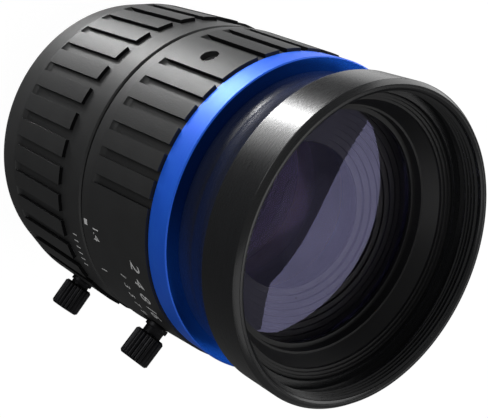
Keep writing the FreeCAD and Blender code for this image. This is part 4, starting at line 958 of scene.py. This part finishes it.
def lamp(name, azimuth, elevation, width, height, strength, turn):
    """A soft panel that faces the middle of the lens. Its strength is a quarter of its watts per square
    metre, so its size doesn't change how bright it looks in a reflection."""
    light = bpy.data.lights.new(name, "AREA")
    light.shape = "RECTANGLE"
    light.size = width
    light.size_y = height
    light.energy = 4 * strength * width * height
    holder = bpy.data.objects.new(name, light)
    bpy.context.scene.collection.objects.link(holder)
    a, e = math.radians(azimuth), math.radians(elevation)
    away = Vector((math.cos(e) * math.cos(a), math.cos(e) * math.sin(a), math.sin(e)))
    holder.location = LAMP_TARGET + away * LAMP_DISTANCE
    facing = away.to_track_quat("Z", "Y").to_matrix() @ Matrix.Rotation(math.radians(turn), 3, "Z")
    holder.rotation_euler = facing.to_euler()
    holder.visible_camera = False


def studio():
    """A dim room that is lighter above. The camera sees it as white, and mirrors and glass see a share of
    that white. The floor looks white too and takes the lens's shadow."""
    scene = bpy.context.scene
    scene.world = bpy.data.worlds.new("studio")
    walls = Finish("studio", scene.world)
    by_camera = walls.add("ShaderNodeLightPath", None, None, "Is Camera Ray")
    by_mirror = walls.add("ShaderNodeLightPath", None, None, "Is Glossy Ray")
    by_glass = walls.add("ShaderNodeLightPath", None, None, "Is Transmission Ray")
    direction = walls.add("ShaderNodeTexCoord", None, None, "Generated")
    rise = walls.add("ShaderNodeSeparateXYZ", None, {0: direction}, 2)
    room = ROOM_LOW + (rise + 1) * ((ROOM_HIGH - ROOM_LOW) / 2)
    shown = by_camera + (by_mirror + by_glass) * MIRROR_SHARE
    level = shown + (1 - shown) * room
    white = walls.add("ShaderNodeBackground", None, {"Color": (1, 1, 1, 1), "Strength": level})
    walls.add("ShaderNodeOutputWorld", None, {"Surface": white}, None)

    floor_finish = Finish("studio_floor")
    glow = floor_finish.add("ShaderNodeEmission", None, {"Color": (1, 1, 1, 1), "Strength": FLOOR_GLOW})
    matt = floor_finish.add("ShaderNodeBsdfDiffuse", None, {"Color": (0.9, 0.9, 0.9, 1)})
    floor_material = floor_finish.surface(floor_finish.add("ShaderNodeMixShader", None,
                                                           {0: FLOOR_SHADOW_SHARE, 1: glow, 2: matt}))
    size = FLOOR_HALF_SIZE
    points = [Vector((x, y, FLOOR_HEIGHT))
              for x, y in ((-size, -size), (size, -size), (size, size), (-size, size))]
    mesh = bpy.data.meshes.new("floor")
    mesh.from_pydata(points, [], [(0, 1, 2, 3)])
    mesh.materials.append(floor_material)
    floor = bpy.data.objects.new("floor", mesh)
    bpy.context.scene.collection.objects.link(floor)
    floor.visible_glossy = False
    floor.visible_diffuse = False
    floor.visible_transmission = False
    floor.visible_shadow = False

    for panel in LAMPS:
        lamp(*panel)
    scene.view_settings.view_transform = "Standard"


camera()
studio()
